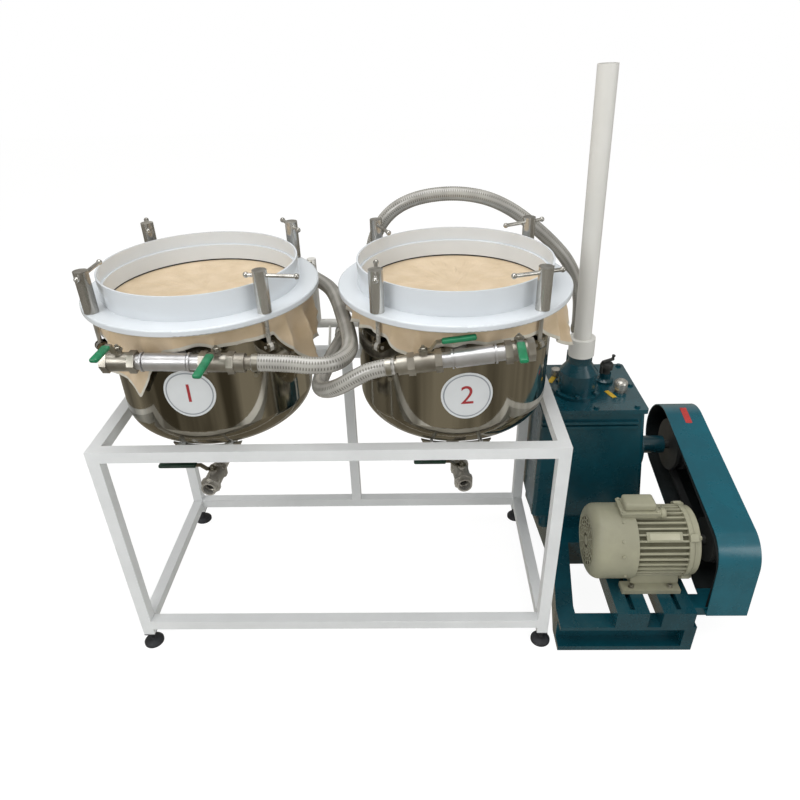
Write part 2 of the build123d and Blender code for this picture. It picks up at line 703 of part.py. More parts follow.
# Pump base: cast frame with an open middle and a C-shaped front
with BuildPart() as base:
    with BuildSketch(Plane.XY):
        with BuildLine():
            Polyline((base_left + 12, base_back), (base_left + 40, base_front + 330), (base_left, base_front + 70),
                     (base_left, base_front), (base_right, base_front), (base_right, base_back), close=True)
        make_face()
    extrude(amount=base_height)
    with BuildSketch(Plane.XY.offset(-1)):
        with BuildLine():
            Polyline((base_left + 88, base_front + 330), (base_left + 50, base_front + 75), (base_left + 50, base_front + 50),
                     (base_right - 50, base_front + 50), (base_right - 50, base_front + 330), close=True)
        make_face()
    extrude(amount=base_height + 2, mode=Mode.SUBTRACT)
    with BuildSketch(Plane((base_left - 1, 0, 0), x_dir=(0, 1, 0), z_dir=(1, 0, 0))):
        with BuildLine():
            Polyline((base_front - 1, base_lip), (base_front + 36, base_lip), (base_front + 36, base_height - base_web),
                     (base_front - 1, base_height - base_web), close=True)
        make_face()
    extrude(amount=base_right - base_left - 30, mode=Mode.SUBTRACT)
    with BuildSketch(Plane.XY.offset(base_height)):
        with Locations(((plate_left + plate_right) / 2, (plate_front + plate_back) / 2)):
            RectangleRounded(250, 250, 20)
    extrude(amount=pedestal_top - base_height)
save(base, "pump_base")

# Pump tank with the front ribs and the shaft's bearing boss
tank_front = plate_front + tank_inset
tank_back = plate_back - tank_inset
tank_ceiling = plate_top - plate_thickness
tank_right = tank_top[1] + (tank_foot[1] - tank_top[1]) * (tank_ceiling - shaft_z) / (tank_ceiling - pedestal_top)
with BuildPart() as tank:
    with BuildSketch(Plane((0, tank_front, 0), x_dir=(1, 0, 0), z_dir=(0, -1, 0))):
        with BuildLine():
            Polyline((tank_foot[0], pedestal_top), (tank_foot[1], pedestal_top), (tank_top[1], tank_ceiling),
                     (tank_top[0], tank_ceiling), close=True)
        make_face()
    extrude(amount=tank_front - tank_back)
    upright = tank.edges().filter_by(lambda e: abs(e.tangent_at(0.5).Z) > 0.9)
    fillet(upright, tank_corner)
    for rib in rib_heights:
        with BuildSketch(Plane.XY.offset(rib)):
            with Locations(((tank_top[0] + rib_right) / 2, tank_front - rib_depth / 2 + 1)):
                RectangleRounded(rib_right - tank_top[0], rib_depth + 2, 3)
        extrude(amount=rib_height)
    with BuildSketch(Plane((tank_right - 10, shaft_y, shaft_z), z_dir=(1, 0, 0))):
        Circle(72)
    extrude(amount=30)
    with BuildSketch(Plane((tank_right, shaft_y, shaft_z), z_dir=(1, 0, 0))):
        Circle(28)
    extrude(amount=guard_inner_x - tank_right - 4)
save(tank, "pump_tank")

# Pump top plate
with BuildPart() as plate:
    with BuildSketch(Plane.XY.offset(plate_top - plate_thickness)):
        with Locations(((plate_left + plate_right) / 2, (plate_front + plate_back) / 2)):
            RectangleRounded(plate_right - plate_left, plate_back - plate_front, 8)
    extrude(amount=plate_thickness)
save(plate, "pump_top_plate")

# Exhaust stack of the pump
with BuildPart() as exhaust:
    with BuildSketch(Plane((exhaust_x, exhaust_y, 0), x_dir=(1, 0, 0), z_dir=(0, -1, 0))):
        with BuildLine():
            Polyline((0, plate_top), (exhaust_flange_radius, plate_top), (exhaust_flange_radius, plate_top + exhaust_flange_thickness),
                     (exhaust_radius, plate_top + exhaust_flange_thickness), (exhaust_radius, exhaust_cylinder_top),
                     (exhaust_neck_radius, exhaust_cone_top), (exhaust_neck_radius, exhaust_neck_top),
                     (0, exhaust_neck_top), close=True)
        make_face()
    revolve(axis=Axis((exhaust_x, exhaust_y, 0), (0, 0, 1)))
save(exhaust, "exhaust_stack")

# White exhaust pipe in its socket, a little out of plumb
lean = radians(vent_pipe_lean)
pipe_direction = Vector(-sin(lean), 0, cos(lean))
socket_foot = Vector(exhaust_x, exhaust_y, exhaust_neck_top + vent_socket_radius * sin(lean))
with BuildPart() as vent_pipe:
    with BuildSketch(Plane(socket_foot, x_dir=(0, 1, 0), z_dir=pipe_direction)):
        Circle(vent_socket_radius)
    extrude(amount=vent_socket_height)
    with BuildSketch(Plane(socket_foot, x_dir=(0, 1, 0), z_dir=pipe_direction)):
        Circle(vent_pipe_radius)
    extrude(amount=(vent_pipe_top - socket_foot.Z) / cos(lean))
    with BuildSketch(Plane(socket_foot - pipe_direction, x_dir=(0, 1, 0), z_dir=pipe_direction)):
        Circle(vent_pipe_radius - vent_pipe_wall)
    extrude(amount=vent_pipe_top - socket_foot.Z + 10, mode=Mode.SUBTRACT)
save(vent_pipe, "exhaust_pipe")

# Oil filler with its cap
with BuildPart() as filler:
    with BuildSketch(Plane((frame_left + 1364, frame_front + 533, 0), x_dir=(1, 0, 0), z_dir=(0, -1, 0))):
        with BuildLine():
            Polyline((0, plate_top), (26, plate_top), (26, plate_top + 9), (15, plate_top + 9), (15, plate_top + 40),
                     (18, plate_top + 40), (18, plate_top + 74), (14, plate_top + 80), (0, plate_top + 80), close=True)
        make_face()
    revolve(axis=Axis((frame_left + 1364, frame_front + 533, 0), (0, 0, 1)))
save(filler, "oil_filler")

# Gas ballast and oil knobs on the plate
with BuildPart() as knobs:
    for knob_x, knob_y, knob_r, knob_h in ((1395, 471, 20, 28), (1220, 569, 14, 26)):
        with BuildSketch(Plane((frame_left + knob_x, frame_front + knob_y, plate_top))):
            Circle(knob_r * 0.75)
        extrude(amount=knob_h * 0.4)
        with BuildSketch(Plane((frame_left + knob_x, frame_front + knob_y, plate_top + knob_h * 0.4))):
            Circle(knob_r)
        extrude(amount=knob_h * 0.6)
save(knobs, "pump_knobs")

# Inlet port of the pump: flange, neck and barb
inlet_x = frame_left + 1278.0
inlet_y = frame_front + 598.0
inlet_top = 690.0
with BuildPart() as inlet:
    with BuildSketch(Plane((inlet_x, inlet_y, plate_top))):
        Circle(36)
    extrude(amount=12)
    with BuildSketch(Plane((inlet_x, inlet_y, plate_top + 12))):
        Circle(22)
    extrude(amount=60)
    with BuildSketch(Plane((inlet_x, inlet_y, plate_top + 72))):
        Circle(barb_radius)
    extrude(amount=inlet_top - plate_top - 72)
save(inlet, "pump_inlet")

# Belt guard: pill-shaped pan, open towards the machine and below its front end
slope = radians(guard_slope)
down = Vector(0, -cos(slope), -sin(slope))
up = Vector(0, -sin(slope), cos(slope))
far_y, far_z = guard_far
top_far = (far_y + up.Y * guard_half_width, far_z + up.Z * guard_half_width)
low_far = (far_y - up.Y * guard_half_width, far_z - up.Z * guard_half_width)
end_far = (far_y - down.Y * guard_half_width, far_z - down.Z * guard_half_width)
run_top = (top_far[0] - guard_front_y) / cos(slope)
top_near = (guard_front_y, top_far[1] - run_top * sin(slope))
low_run = (low_far[1] - guard_bottom) / sin(slope)
low_near = (low_far[0] - low_run * cos(slope), guard_bottom)
guard_plane = Plane((guard_inner_x, 0, 0), x_dir=(0, 1, 0), z_dir=(1, 0, 0))
with BuildPart() as guard:
    with BuildSketch(guard_plane):
        with BuildLine():
            Line(top_near, top_far)
            ThreePointArc(top_far, end_far, low_far)
            Polyline(low_far, (low_near[0] + 60, low_near[1] + 60 * tan(slope)), (guard_front_y - 14, guard_bottom), top_near)
        make_face()
    extrude(amount=guard_outer_x - guard_inner_x)
    fillet(guard.edges().filter_by(Axis.X).sort_by_distance((guard_inner_x + 50, *top_near))[0], 92)
    offset(amount=-guard_wall, openings=guard.faces().sort_by(Axis.X)[0])
    with BuildSketch(Plane.XY.offset(guard_bottom - guard_foot_thickness)):
        with Locations(((base_right + guard_outer_x) / 2 - 10, guard_front_y + 26)):
            Rectangle(guard_outer_x - base_right - 20, 50)
    extrude(amount=guard_foot_thickness + 15)
save(guard, "belt_guard")

# Pulleys inside the guard
pulley_x = guard_inner_x + 14
for name, py, pz, radius, width, start_x in (
    ("pump_pulley", shaft_y, shaft_z, pump_pulley_radius, 46.0, pulley_x),
    ("motor_pulley", motor_y, motor_z, motor_pulley_radius, 46.0, pulley_x),
):
    with BuildPart() as pulley:
        with BuildSketch(Plane((start_x, py, pz), z_dir=(1, 0, 0))):
            Circle(radius)
        extrude(amount=width)
        with BuildSketch(Plane((start_x + width / 2 - 11, py, pz), z_dir=(1, 0, 0))):
            Circle(radius + 1)
            Circle(radius - 9, mode=Mode.SUBTRACT)
        extrude(amount=22, mode=Mode.SUBTRACT)
        shaft_from = (guard_inner_x - 4) if name == "pump_pulley" else shield_right
        with BuildSketch(Plane((shaft_from, py, pz), z_dir=(1, 0, 0))):
            Circle(14)
        extrude(amount=start_x - shaft_from)
    save(pulley, name)

# Drive belt: one loop round both pulleys
belt_inner_pump = pump_pulley_radius - 9 + seat_gap
belt_inner_motor = motor_pulley_radius - 9 + seat_gap
belt_height = 11.0
belt_x = pulley_x + 13.0
gap = Vector(0, shaft_y - motor_y, shaft_z - motor_z)
with BuildPart() as belt:
    for grow, mode in ((belt_height, Mode.ADD), (0.0, Mode.SUBTRACT)):
        r1 = belt_inner_motor + grow
        r2 = belt_inner_pump + grow
        base_angle = atan2(gap.Z, gap.Y)
        beta = radians(90) + (r2 - r1) / gap.length
        with BuildSketch(Plane((belt_x, 0, 0), x_dir=(0, 1, 0), z_dir=(1, 0, 0))):
            with BuildLine():
                a1 = (motor_y + r1 * cos(base_angle + beta), motor_z + r1 * sin(base_angle + beta))
                a2 = (shaft_y + r2 * cos(base_angle + beta), shaft_z + r2 * sin(base_angle + beta))
                b1 = (motor_y + r1 * cos(base_angle - beta), motor_z + r1 * sin(base_angle - beta))
                b2 = (shaft_y + r2 * cos(base_angle - beta), shaft_z + r2 * sin(base_angle - beta))
                Line(a1, a2)
                ThreePointArc(a2, (shaft_y + r2 * cos(base_angle), shaft_z + r2 * sin(base_angle)), b2)
                Line(b2, b1)
                ThreePointArc(b1, (motor_y - r1 * cos(base_angle), motor_z - r1 * sin(base_angle)), a1)
            make_face()
        extrude(amount=20, mode=mode)
save(belt, "drive_belt")

# Motor: body, end shield and feet
foot_half = 102.0
with BuildPart() as motor:
    with BuildSketch(Plane((cover_right, motor_y, motor_z), z_dir=(1, 0, 0))):
        Circle(body_radius)
    extrude(amount=body_right - cover_right)
    with BuildSketch(Plane((body_right, motor_y, motor_z), z_dir=(1, 0, 0))):
        Circle(motor_radius - 2)
    extrude(amount=shield_right - body_right - 8)
    with BuildSketch(Plane((shield_right - 8, motor_y, motor_z), z_dir=(1, 0, 0))):
        Circle(34)
    extrude(amount=7)
    for foot_sign in (-1, 1):
        with BuildSketch(Plane((cover_right + 2, 0, 0), x_dir=(0, 1, 0), z_dir=(1, 0, 0))):
            with BuildLine():
                Polyline((motor_y + foot_sign * foot_half, slide_top), (motor_y + foot_sign * 46, slide_top),
                         (motor_y + foot_sign * 46, motor_z - 60), (motor_y + foot_sign * 66, motor_z - 60),
                         (motor_y + foot_sign * 74, slide_top + 13), (motor_y + foot_sign * foot_half, slide_top + 13), close=True)
            make_face()
        extrude(amount=motor_x + 80 - cover_right - 2)
        with BuildSketch(Plane.XY.offset(slide_top)):
            with Locations((motor_x, motor_y + foot_sign * (foot_half - 18))):
                Rectangle(160, 36)
        extrude(amount=13)
save(motor, "motor_body")

with BuildPart() as cover:
    with BuildSketch(Plane((cover_left, motor_y, motor_z), z_dir=(1, 0, 0))):
        Circle(cover_radius)
    extrude(amount=cover_right - cover_left)
    fillet(cover.edges().filter_by(GeomType.CIRCLE).sort_by(Axis.X)[0], 26)
save(cover, "fan_cover")

with BuildPart() as terminal:
    with BuildSketch(Plane.XY.offset(motor_z + body_radius - 12)):
        with Locations((terminal_x, motor_y)):
            RectangleRounded(terminal_length, terminal_width, 8)
    extrude(amount=terminal_height)
    with BuildSketch(Plane((cover_right + seat_gap, motor_y, motor_z), z_dir=(-1, 0, 0))):
        Circle(cover_radius + seat_gap)
    extrude(amount=140, mode=Mode.SUBTRACT)
    with BuildSketch(Plane((cover_left, motor_y, motor_z), z_dir=(1, 0, 0))):
        Circle(body_radius + seat_gap)
    extrude(amount=340, mode=Mode.SUBTRACT)
save(terminal, "terminal_box")

# Two slotted slide rails under the motor
with BuildPart() as slides:
    for centre in slide_centres:
        with BuildSketch(Plane.XY.offset(base_height)):
            with Locations((centre, base_front + slide_length / 2)):
                Rectangle(slide_width, slide_length)
        extrude(amount=slide_top - base_height)
        with BuildSketch(Plane.XY.offset(slide_top - 20)):
            with Locations((centre, base_front + slide_length / 2)):
                Rectangle(slide_slot, slide_length - 30)
        extrude(amount=30, mode=Mode.SUBTRACT)
save(slides, "slide_rails")


# Hoses: straight runs joined by tangent arcs
def hose(name, points):
    vectors = [Vector(*p) for p in points]
    radii = []
    for before, here, after in zip(vectors, vectors[1:], vectors[2:]):
        turn = (here - before).get_angle(after - here)
        run = min((here - before).length, (after - here).length)
        radii.append(0.45 * run / tan(radians(turn / 2)))
    with BuildPart() as tube:
        with BuildLine() as line:
            FilletPolyline(*vectors, radius=radii)
        with BuildSketch(Plane(vectors[0], z_dir=vectors[1] - vectors[0])):
            Circle(hose_radius)
        sweep()
    length = line.line.length if hasattr(line.line, "length") else sum(e.length for e in line.edges())
    print(name, "length", round(length), "radii", [round(r) for r in radii],
          "volume ratio", round(tube.part.volume / (3.14159265 * hose_radius**2 * length), 4))
    save(tube, name)


def shifted(points):
    return [(frame_left + x, frame_front + y, z) for x, y, z in points]


left_end = pipe_plane("left", suction["left"]["barb_end"] + seat_gap).origin
right_end = pipe_plane("right", suction["right"]["barb_end"] - seat_gap).origin
hose("hose_left", [tuple(left_end)] + shifted([
    (500, 0, 908), (560, 2, 898), (604, 18, 894), (630, 62, 893), (632, 118, 892), (620, 190, 894), (601, 270, 898),
    (582, 350, 904), (556, 425, 911), (512, 484, 915), (478, 526, 915), (478, 570 - seat_gap, 915)]))
hose("hose_right", [tuple(right_end)] + shifted([
    (690, 0, 891), (645, 0, 866), (606, 10, 838), (570, 46, 812), (552, 100, 796), (556, 160, 796), (570, 225, 804),
    (582, 295, 806), (582, 370, 788), (574, 445, 757), (562, 510, 728), (560, 540, 721), (560, 570 - seat_gap, 721)]))
hose("hose_arch", shifted([
    (652, 620, 800 + seat_gap), (652, 620, 870), (656, 616, 950), (678, 608, 1018), (718, 602, 1068), (772, 600, 1098),
    (840, 600, 1112), (915, 600, 1113), (990, 600, 1098), (1056, 600, 1066), (1116, 600, 1022), (1176, 600, 970),
    (1228, 600, 914), (1264, 599, 842), (1278, 598, 764), (1278, 598, 690 + seat_gap)]))
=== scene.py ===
# Vacuum oil filter machine: two polished filter tubs piped to a belt-driven vacuum pump
import bpy
import bmesh
import math
from mathutils import Matrix, Vector, noise


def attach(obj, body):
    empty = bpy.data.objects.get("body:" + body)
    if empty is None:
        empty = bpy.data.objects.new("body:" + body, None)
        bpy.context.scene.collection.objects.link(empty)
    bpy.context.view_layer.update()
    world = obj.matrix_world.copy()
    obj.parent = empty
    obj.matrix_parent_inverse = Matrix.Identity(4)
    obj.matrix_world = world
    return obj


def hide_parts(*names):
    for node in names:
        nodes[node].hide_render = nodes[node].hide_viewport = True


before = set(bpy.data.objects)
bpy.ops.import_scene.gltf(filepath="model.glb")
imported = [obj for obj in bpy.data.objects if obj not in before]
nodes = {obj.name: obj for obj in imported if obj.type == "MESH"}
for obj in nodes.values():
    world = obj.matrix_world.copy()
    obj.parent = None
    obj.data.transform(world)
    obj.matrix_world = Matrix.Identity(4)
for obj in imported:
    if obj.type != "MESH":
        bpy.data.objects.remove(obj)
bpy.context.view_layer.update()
mm = 0.001
machine = "machine"

# Corner of the welded frame on the floor: the sizes below are measured from it, in millimetres
cornerX = -832.0
cornerY = -266.5
tubY = cornerY + 277.5
tubX = {"left": cornerX + 263.0, "right": cornerX + 878.0}
tubRadius = 240.0
valveZ = 914.0
plateZ = 550.2


def place(x, y, z):
    return Vector(((cornerX + x) * mm, (cornerY + y) * mm, z * mm))


def linear(code):
    values = [int(code[i:i + 2], 16) / 255 for i in (1, 3, 5)]
    return tuple(v / 12.92 if v <= 0.04045 else ((v + 0.055) / 1.055) ** 2.4 for v in values) + (1.0,)


def addNode(tree, kind, settings=None, values=None):
    node = tree.nodes.new(kind)
    for key, value in (settings or {}).items():
        setattr(node, key, value)
    for key, value in (values or {}).items():
        if isinstance(value, bpy.types.NodeSocket):
            tree.links.new(value, node.inputs[key])
        else:
            node.inputs[key].default_value = value
    return node


def newFinish(name, colour, roughness, metallic=0.0, extra=None):
    material = bpy.data.materials.new(name)
    material.use_nodes = True
    tree = material.node_tree
    shader = tree.nodes["Principled BSDF"]
    shader.inputs["Base Color"].default_value = linear(colour)
    shader.inputs["Roughness"].default_value = roughness
    shader.inputs["Metallic"].default_value = metallic
    for key, value in (extra or {}).items():
        shader.inputs[key].default_value = value
    coords = addNode(tree, "ShaderNodeTexCoord")
    return material, tree, shader, coords


def rampOf(tree, factor, low, high, lowColour, highColour):
    ramp = addNode(tree, "ShaderNodeValToRGB", values={"Fac": factor})
    ramp.color_ramp.elements[0].position = low
    ramp.color_ramp.elements[0].color = lowColour
    ramp.color_ramp.elements[1].position = high
    ramp.color_ramp.elements[1].color = highColour
    return ramp.outputs["Color"]


def grey(value):
    return (value, value, value, 1.0)


def noiseOf(tree, vector, scale, detail, roughness=0.5):
    return addNode(tree, "ShaderNodeTexNoise", values={
        "Vector": vector, "Scale": scale, "Detail": detail, "Roughness": roughness}).outputs["Fac"]


def waveOf(tree, vector, direction, spacing, distortion=0.0):
    # At scale 1 the bands are 0.314 m apart
    return addNode(tree, "ShaderNodeTexWave", {"bands_direction": direction}, {
        "Vector": vector, "Scale": 0.314 / spacing, "Distortion": distortion, "Detail": 1.0}).outputs["Fac"]


def stretched(tree, vector, scale):
    return addNode(tree, "ShaderNodeMapping", values={"Vector": vector, "Scale": scale}).outputs["Vector"]


def addBump(tree, shader, height, strength, depth):
    bump = addNode(tree, "ShaderNodeBump", values={"Height": height, "Strength": strength, "Distance": depth})
    tree.links.new(bump.outputs["Normal"], shader.inputs["Normal"])


def paintedFinish(name, colour, worn, roughness, peelSize, peelDepth, blotchSize=0.09, extra=None):
    material, tree, shader, coords = newFinish(name, colour, roughness, extra=extra)
    where = coords.outputs["Object"]
    blotch = noiseOf(tree, where, 1 / blotchSize, 6.0, 0.62)
    colours = rampOf(tree, blotch, 0.36, 0.66, linear(worn), linear(colour))
    tree.links.new(colours, shader.inputs["Base Color"])
    gloss = rampOf(tree, blotch, 0.3, 0.7, grey(roughness * 1.35), grey(roughness * 0.85))
    tree.links.new(gloss, shader.inputs["Roughness"])
    addBump(tree, shader, noiseOf(tree, where, 1 / peelSize, 3.0), 0.35, peelDepth)
    return material


def polishedFinish(name, colour, shade, roughness, lineSize, lineDepth,
                   stretch=(1, 1, 18), toneStretch=(1, 1, 1), metal=1.0):
    material, tree, shader, coords = newFinish(name, colour, roughness, metal)
    where = coords.outputs["Object"]
    lines = noiseOf(tree, stretched(tree, where, stretch), 1 / lineSize, 4.0)
    # Paler and darker patches in the colour: random tone, and where stretched tall on the tubs, painted reflection
    smearAndReflection = noiseOf(tree, stretched(tree, where, toneStretch), 14.0, 3.0)
    colours = rampOf(tree, smearAndReflection, 0.38, 0.62, linear(shade), linear(colour))
    tree.links.new(colours, shader.inputs["Base Color"])
    gloss = rampOf(tree, smearAndReflection, 0.35, 0.75, grey(roughness * 1.6), grey(roughness))
    tree.links.new(gloss, shader.inputs["Roughness"])
    addBump(tree, shader, lines, 0.12, lineDepth)
    return material


def canvasFinish(name, colour, stained, threadSize, stainSize):
    material, tree, shader, coords = newFinish(name, colour, 0.86, extra={
        "Sheen Weight": 0.25, "Sheen Roughness": 0.5})
    where = coords.outputs["UV"]
    warp = waveOf(tree, where, "X", threadSize, 0.6)
    weft = waveOf(tree, where, "Y", threadSize, 0.6)
    weave = addNode(tree, "ShaderNodeMath", {"operation": "ADD"}, {0: warp, 1: weft})
    stain = noiseOf(tree, where, 1 / stainSize, 8.0)
    colours = rampOf(tree, stain, 0.38, 0.64, linear(stained), linear(colour))
    tree.links.new(colours, shader.inputs["Base Color"])
    addBump(tree, shader, weave.outputs["Value"], 0.5, 0.0005)
    return material


def hoseFinish(name):
    material, tree, shader, coords = newFinish(name, "#c4c2bb", 0.2, extra={
        "Coat Weight": 0.6, "Coat Roughness": 0.1, "IOR": 1.53})
    turns = waveOf(tree, coords.outputs["UV"], "Y", 0.0058)
    lengthwise = waveOf(tree, coords.outputs["UV"], "X", 0.0149)
    net = addNode(tree, "ShaderNodeMath", {"operation": "MAXIMUM"}, {0: turns, 1: lengthwise})
    cloud = noiseOf(tree, coords.outputs["Object"], 18.0, 2.0)
    body = rampOf(tree, cloud, 0.35, 0.68, linear("#9b9993"), linear("#b1afa8"))
    dark = rampOf(tree, net.outputs["Value"], 0.1, 0.75, linear("#85837d"), linear("#ffffff"))
    mix = addNode(tree, "ShaderNodeMix", {"data_type": "RGBA", "blend_type": "MULTIPLY"}, {
        "Factor": 0.8, "A": body, "B": dark})
    tree.links.new(mix.outputs["Result"], shader.inputs["Base Color"])
    addBump(tree, shader, turns, 0.5, 0.0007)
    return material


# Each finish with what the real one gives the eye
finishes = {
    # Powder coat: even white, satin, a fine orange peel
    "powderCoat": paintedFinish("whitePowderCoat", "#e6e8e8", "#dddfdf", 0.34, 0.0016, 0.0002, 0.2),
    # Stoved paint: cooler white with a clear gloss
    "ringPaint": paintedFinish("whiteStovedPaint", "#dbe0e4", "#d6dbdf", 0.2, 0.0022, 0.0001, 0.3,
                               extra={"Coat Weight": 0.15, "Coat Roughness": 0.07}),
    # Mirror-polished stainless: tall dark and light streaks painted into the colour, partly polish variation and partly
    # painted reflection of the room
    "mirrorTub": polishedFinish("mirrorStainless", "#c8c3b7", "#625d51", 0.06, 0.004, 0.00004,
                                (1, 1, 12), (1, 1, 0.04)),
    # The same polish facing the floor: browner and more even, as painted reflection of the floor
    "mirrorBowl": polishedFinish("mirrorStainlessBowl", "#a39d90", "#8d877a", 0.07, 0.004, 0.00004, (1, 1, 12)),
    # Satin stainless: a soft grey shine with no image in it
    "satinSteel": polishedFinish("satinStainless", "#b9b5ab", "#918c83", 0.26, 0.002, 0.0001, metal=0.85),
    # Buffed stainless: upright bright streaks
    "brightSteel": polishedFinish("brightStainless", "#c6c5c1", "#96938d", 0.16, 0.003, 0.00008,
                                  (1, 1, 18), (2, 2, 0.3), 0.78),
    # Brushed stainless: pale, highlights blurred along the pipe
    "sleeveSteel": polishedFinish("brushedSleeveStainless", "#d6d6d8", "#bcbcbe", 0.26, 0.0012, 0.0001,
                                  (12, 1, 1), metal=0.8),
    # Cotton canvas: matt cream weave, faintly stained by oil
    "cloth": canvasFinish("cottonFilterCanvas", "#dec8a8", "#d3bc99", 0.0011, 0.05),
    # Cotton tape: a paler and finer weave
    "tape": canvasFinish("whiteCottonTape", "#dfdacd", "#cfc8b8", 0.0009, 0.08),
    # Nitrile rubber: matt black
    "gasket": paintedFinish("blackNitrileRubber", "#17181a", "#222325", 0.6, 0.001, 0.0001),
    # Clear PVC with a steel spiral: a milky gloss with fine grey turns
    "hose": hoseFinish("clearSpiralHose"),
    # Enamel on castings: deep teal, glossy over a coarse grain
    "cast": paintedFinish("tealCastEnamel", "#0d4652", "#093944", 0.25, 0.006, 0.0009, 0.16,
                          extra={"Coat Weight": 0.4, "Coat Roughness": 0.14}),
    # Enamel on sheet steel: lighter teal with an even gloss
    "sheetTeal": paintedFinish("tealSheetEnamel", "#16606f", "#115260", 0.26, 0.004, 0.0003, 0.2,
                               extra={"Coat Weight": 0.4, "Coat Roughness": 0.16}),
    # Inside of the guard: painted shade, dull and nearly black
    "guardInside": paintedFinish("darkGuardInside", "#0b1416", "#10191b", 0.7, 0.004, 0.0003, 0.1),
    # Motor enamel: warm beige grey, half matt
    "motor": paintedFinish("beigeMotorEnamel", "#a5a38b", "#979580", 0.38, 0.0035, 0.0003, 0.12),
    # Turned stainless: clean and pale with small highlights
    "drainSteel": polishedFinish("turnedStainless", "#d2d0ca", "#a5a29b", 0.2, 0.002, 0.0001, metal=0.6),
    # Bare plate: the motor's enamel, smoother and paler
    "motorPlate": paintedFinish("paleMotorEnamel", "#b7b49d", "#aeab95", 0.34, 0.003, 0.0001, 0.1),
    # Ground between the fins: the same enamel in shade
    "motorShade": paintedFinish("shadedMotorEnamel", "#5f5d49", "#555341", 0.7, 0.003, 0.0002, 0.1),
    # Painted shade behind the fan grille, for its depth: darker and dull
    "grilleDark": paintedFinish("shadedGrille", "#55533f", "#4b4938", 0.7, 0.003, 0.0002, 0.05),
    # Dipped vinyl: a strong green with a soft shine
    "grip": paintedFinish("greenVinylSleeve", "#178055", "#116b45", 0.32, 0.0025, 0.0003, 0.02),
    # Dipped vinyl of the drain levers: green that is nearly black
    "darkGrip": paintedFinish("darkGreenVinylSleeve", "#123c2d", "#0d2c20", 0.34, 0.0025, 0.0002, 0.02),
    # PVC pipe: smooth warm white
    "pipe": paintedFinish("whitePvcPipe", "#e2e1dc", "#dbdad4", 0.3, 0.01, 0.0001, 0.3),
    # Moulded rubber: black with a grey bloom
    "foot": paintedFinish("blackFootRubber", "#202124", "#34353a", 0.55, 0.0015, 0.0002, 0.03),
    # Blackened iron: dark grey with a dull shine
    "darkIron": paintedFinish("blackenedIron", "#26282a", "#3b3c3a", 0.45, 0.003, 0.0003, 0.03),
    # Belt rubber: matt black
    "belt": paintedFinish("blackBeltRubber", "#191a1b", "#262728", 0.7, 0.001, 0.0001, 0.03),
    # Plastic tags: plain yellow, half matt
    "yellow": paintedFinish("yellowLabelPlastic", "#d9b63a", "#c39c28", 0.4, 0.002, 0.0001, 0.02),
    # Plastic tab: plain red, half matt
    "red": paintedFinish("redLabelPlastic", "#c2403d", "#ae3431", 0.4, 0.002, 0.0001, 0.02),
    # Zinc plating: light grey metal with a blurred shine
    "zinc": polishedFinish("zincPlatedSteel", "#c3c1b8", "#96938a", 0.25, 0.002, 0.0001),
    # Vinyl disc: smooth cool white
    "sticker": paintedFinish("whiteVinylLabel", "#dde0e1", "#d4d7d8", 0.3, 0.02, 0.0001, 0.2),
    # Its printed ring: thin mid grey
    "stickerRim": paintedFinish("greyLabelPrint", "#9aa0a6", "#8b9197", 0.4, 0.02, 0.0001, 0.05),
    # Its printed number: plain red
    "stickerNumber": paintedFinish("redLabelPrint", "#ab3236", "#a32d31", 0.4, 0.02, 0.0001, 0.05),
}
print("finishes ready")

nodeFinish = {
    "frame_front": "powderCoat", "frame_back": "powderCoat", "frame_sides": "powderCoat", "frame_legs": "powderCoat",
    "frame_feet": "foot", "tub_supports": "powderCoat", "vacuum_header": "pipe", "exhaust_pipe": "pipe",
    "pump_base": "cast", "pump_tank": "cast", "pump_top_plate": "cast", "exhaust_stack": "cast",
    "slide_rails": "cast", "pump_inlet": "cast", "belt_guard": "sheetTeal", "pump_knobs": "drainSteel",
    "oil_filler": "darkIron", "pump_pulley": "darkIron", "motor_pulley": "darkIron", "drive_belt": "belt",
    "motor_body": "motor", "fan_cover": "motor", "terminal_box": "motor",
}
for side in ("left", "right"):
    nodeFinish.update({
        f"tub_wall_{side}": "mirrorTub", f"tub_bottom_{side}": "mirrorBowl", f"filter_screen_{side}": "satinSteel",
        f"filter_cloth_{side}": "cloth", f"gasket_{side}": "gasket", f"clamp_ring_{side}": "ringPaint",
        f"swing_bolts_{side}": "drainSteel", f"suction_pipe_{side}": "sleeveSteel",
        f"suction_valves_{side}": "satinSteel",
        f"drain_{side}": "drainSteel", f"vent_lever_{side}": "grip", f"hose_lever_{side}": "grip",
        f"drain_lever_{side}": "darkGrip"})
    for corner in ("front_left", "front_right", "back_left", "back_right"):
        nodeFinish[f"nut_{side}_{corner}"] = "brightSteel"
for name, finish in nodeFinish.items():
    if name in nodes:
        nodes[name].data.materials.clear()
        nodes[name].data.materials.append(finishes[finish])


def newObject(name, data):
    made = bpy.data.objects.new(name, data)
    bpy.context.scene.collection.objects.link(made)
    return made


def makePiece(name, points, faces, finish, uvs):
    mesh = bpy.data.meshes.new(name)
    mesh.from_pydata([tuple(p) for p in points], [], faces)
    mesh.update()
    layer = mesh.uv_layers.new(name="flat")
    for loop in mesh.loops:
        layer.data[loop.index].uv = uvs[loop.vertex_index]
    mesh.materials.append(finishes[finish])
    mesh.polygons.foreach_set("use_smooth", [True] * len(mesh.polygons))
    return newObject(name, mesh)


def frameAt(origin, zAxis, xAxis=None):
    z = Vector(zAxis).normalized()
    x = Vector(xAxis) if xAxis is not None else Vector((1, 0, 0) if abs(z.x) < 0.9 else (0, 1, 0))
    x = (x - z * x.dot(z)).normalized()
    matrix = Matrix((x, z.cross(x), z)).transposed().to_4x4()
    matrix.translation = origin
    return matrix


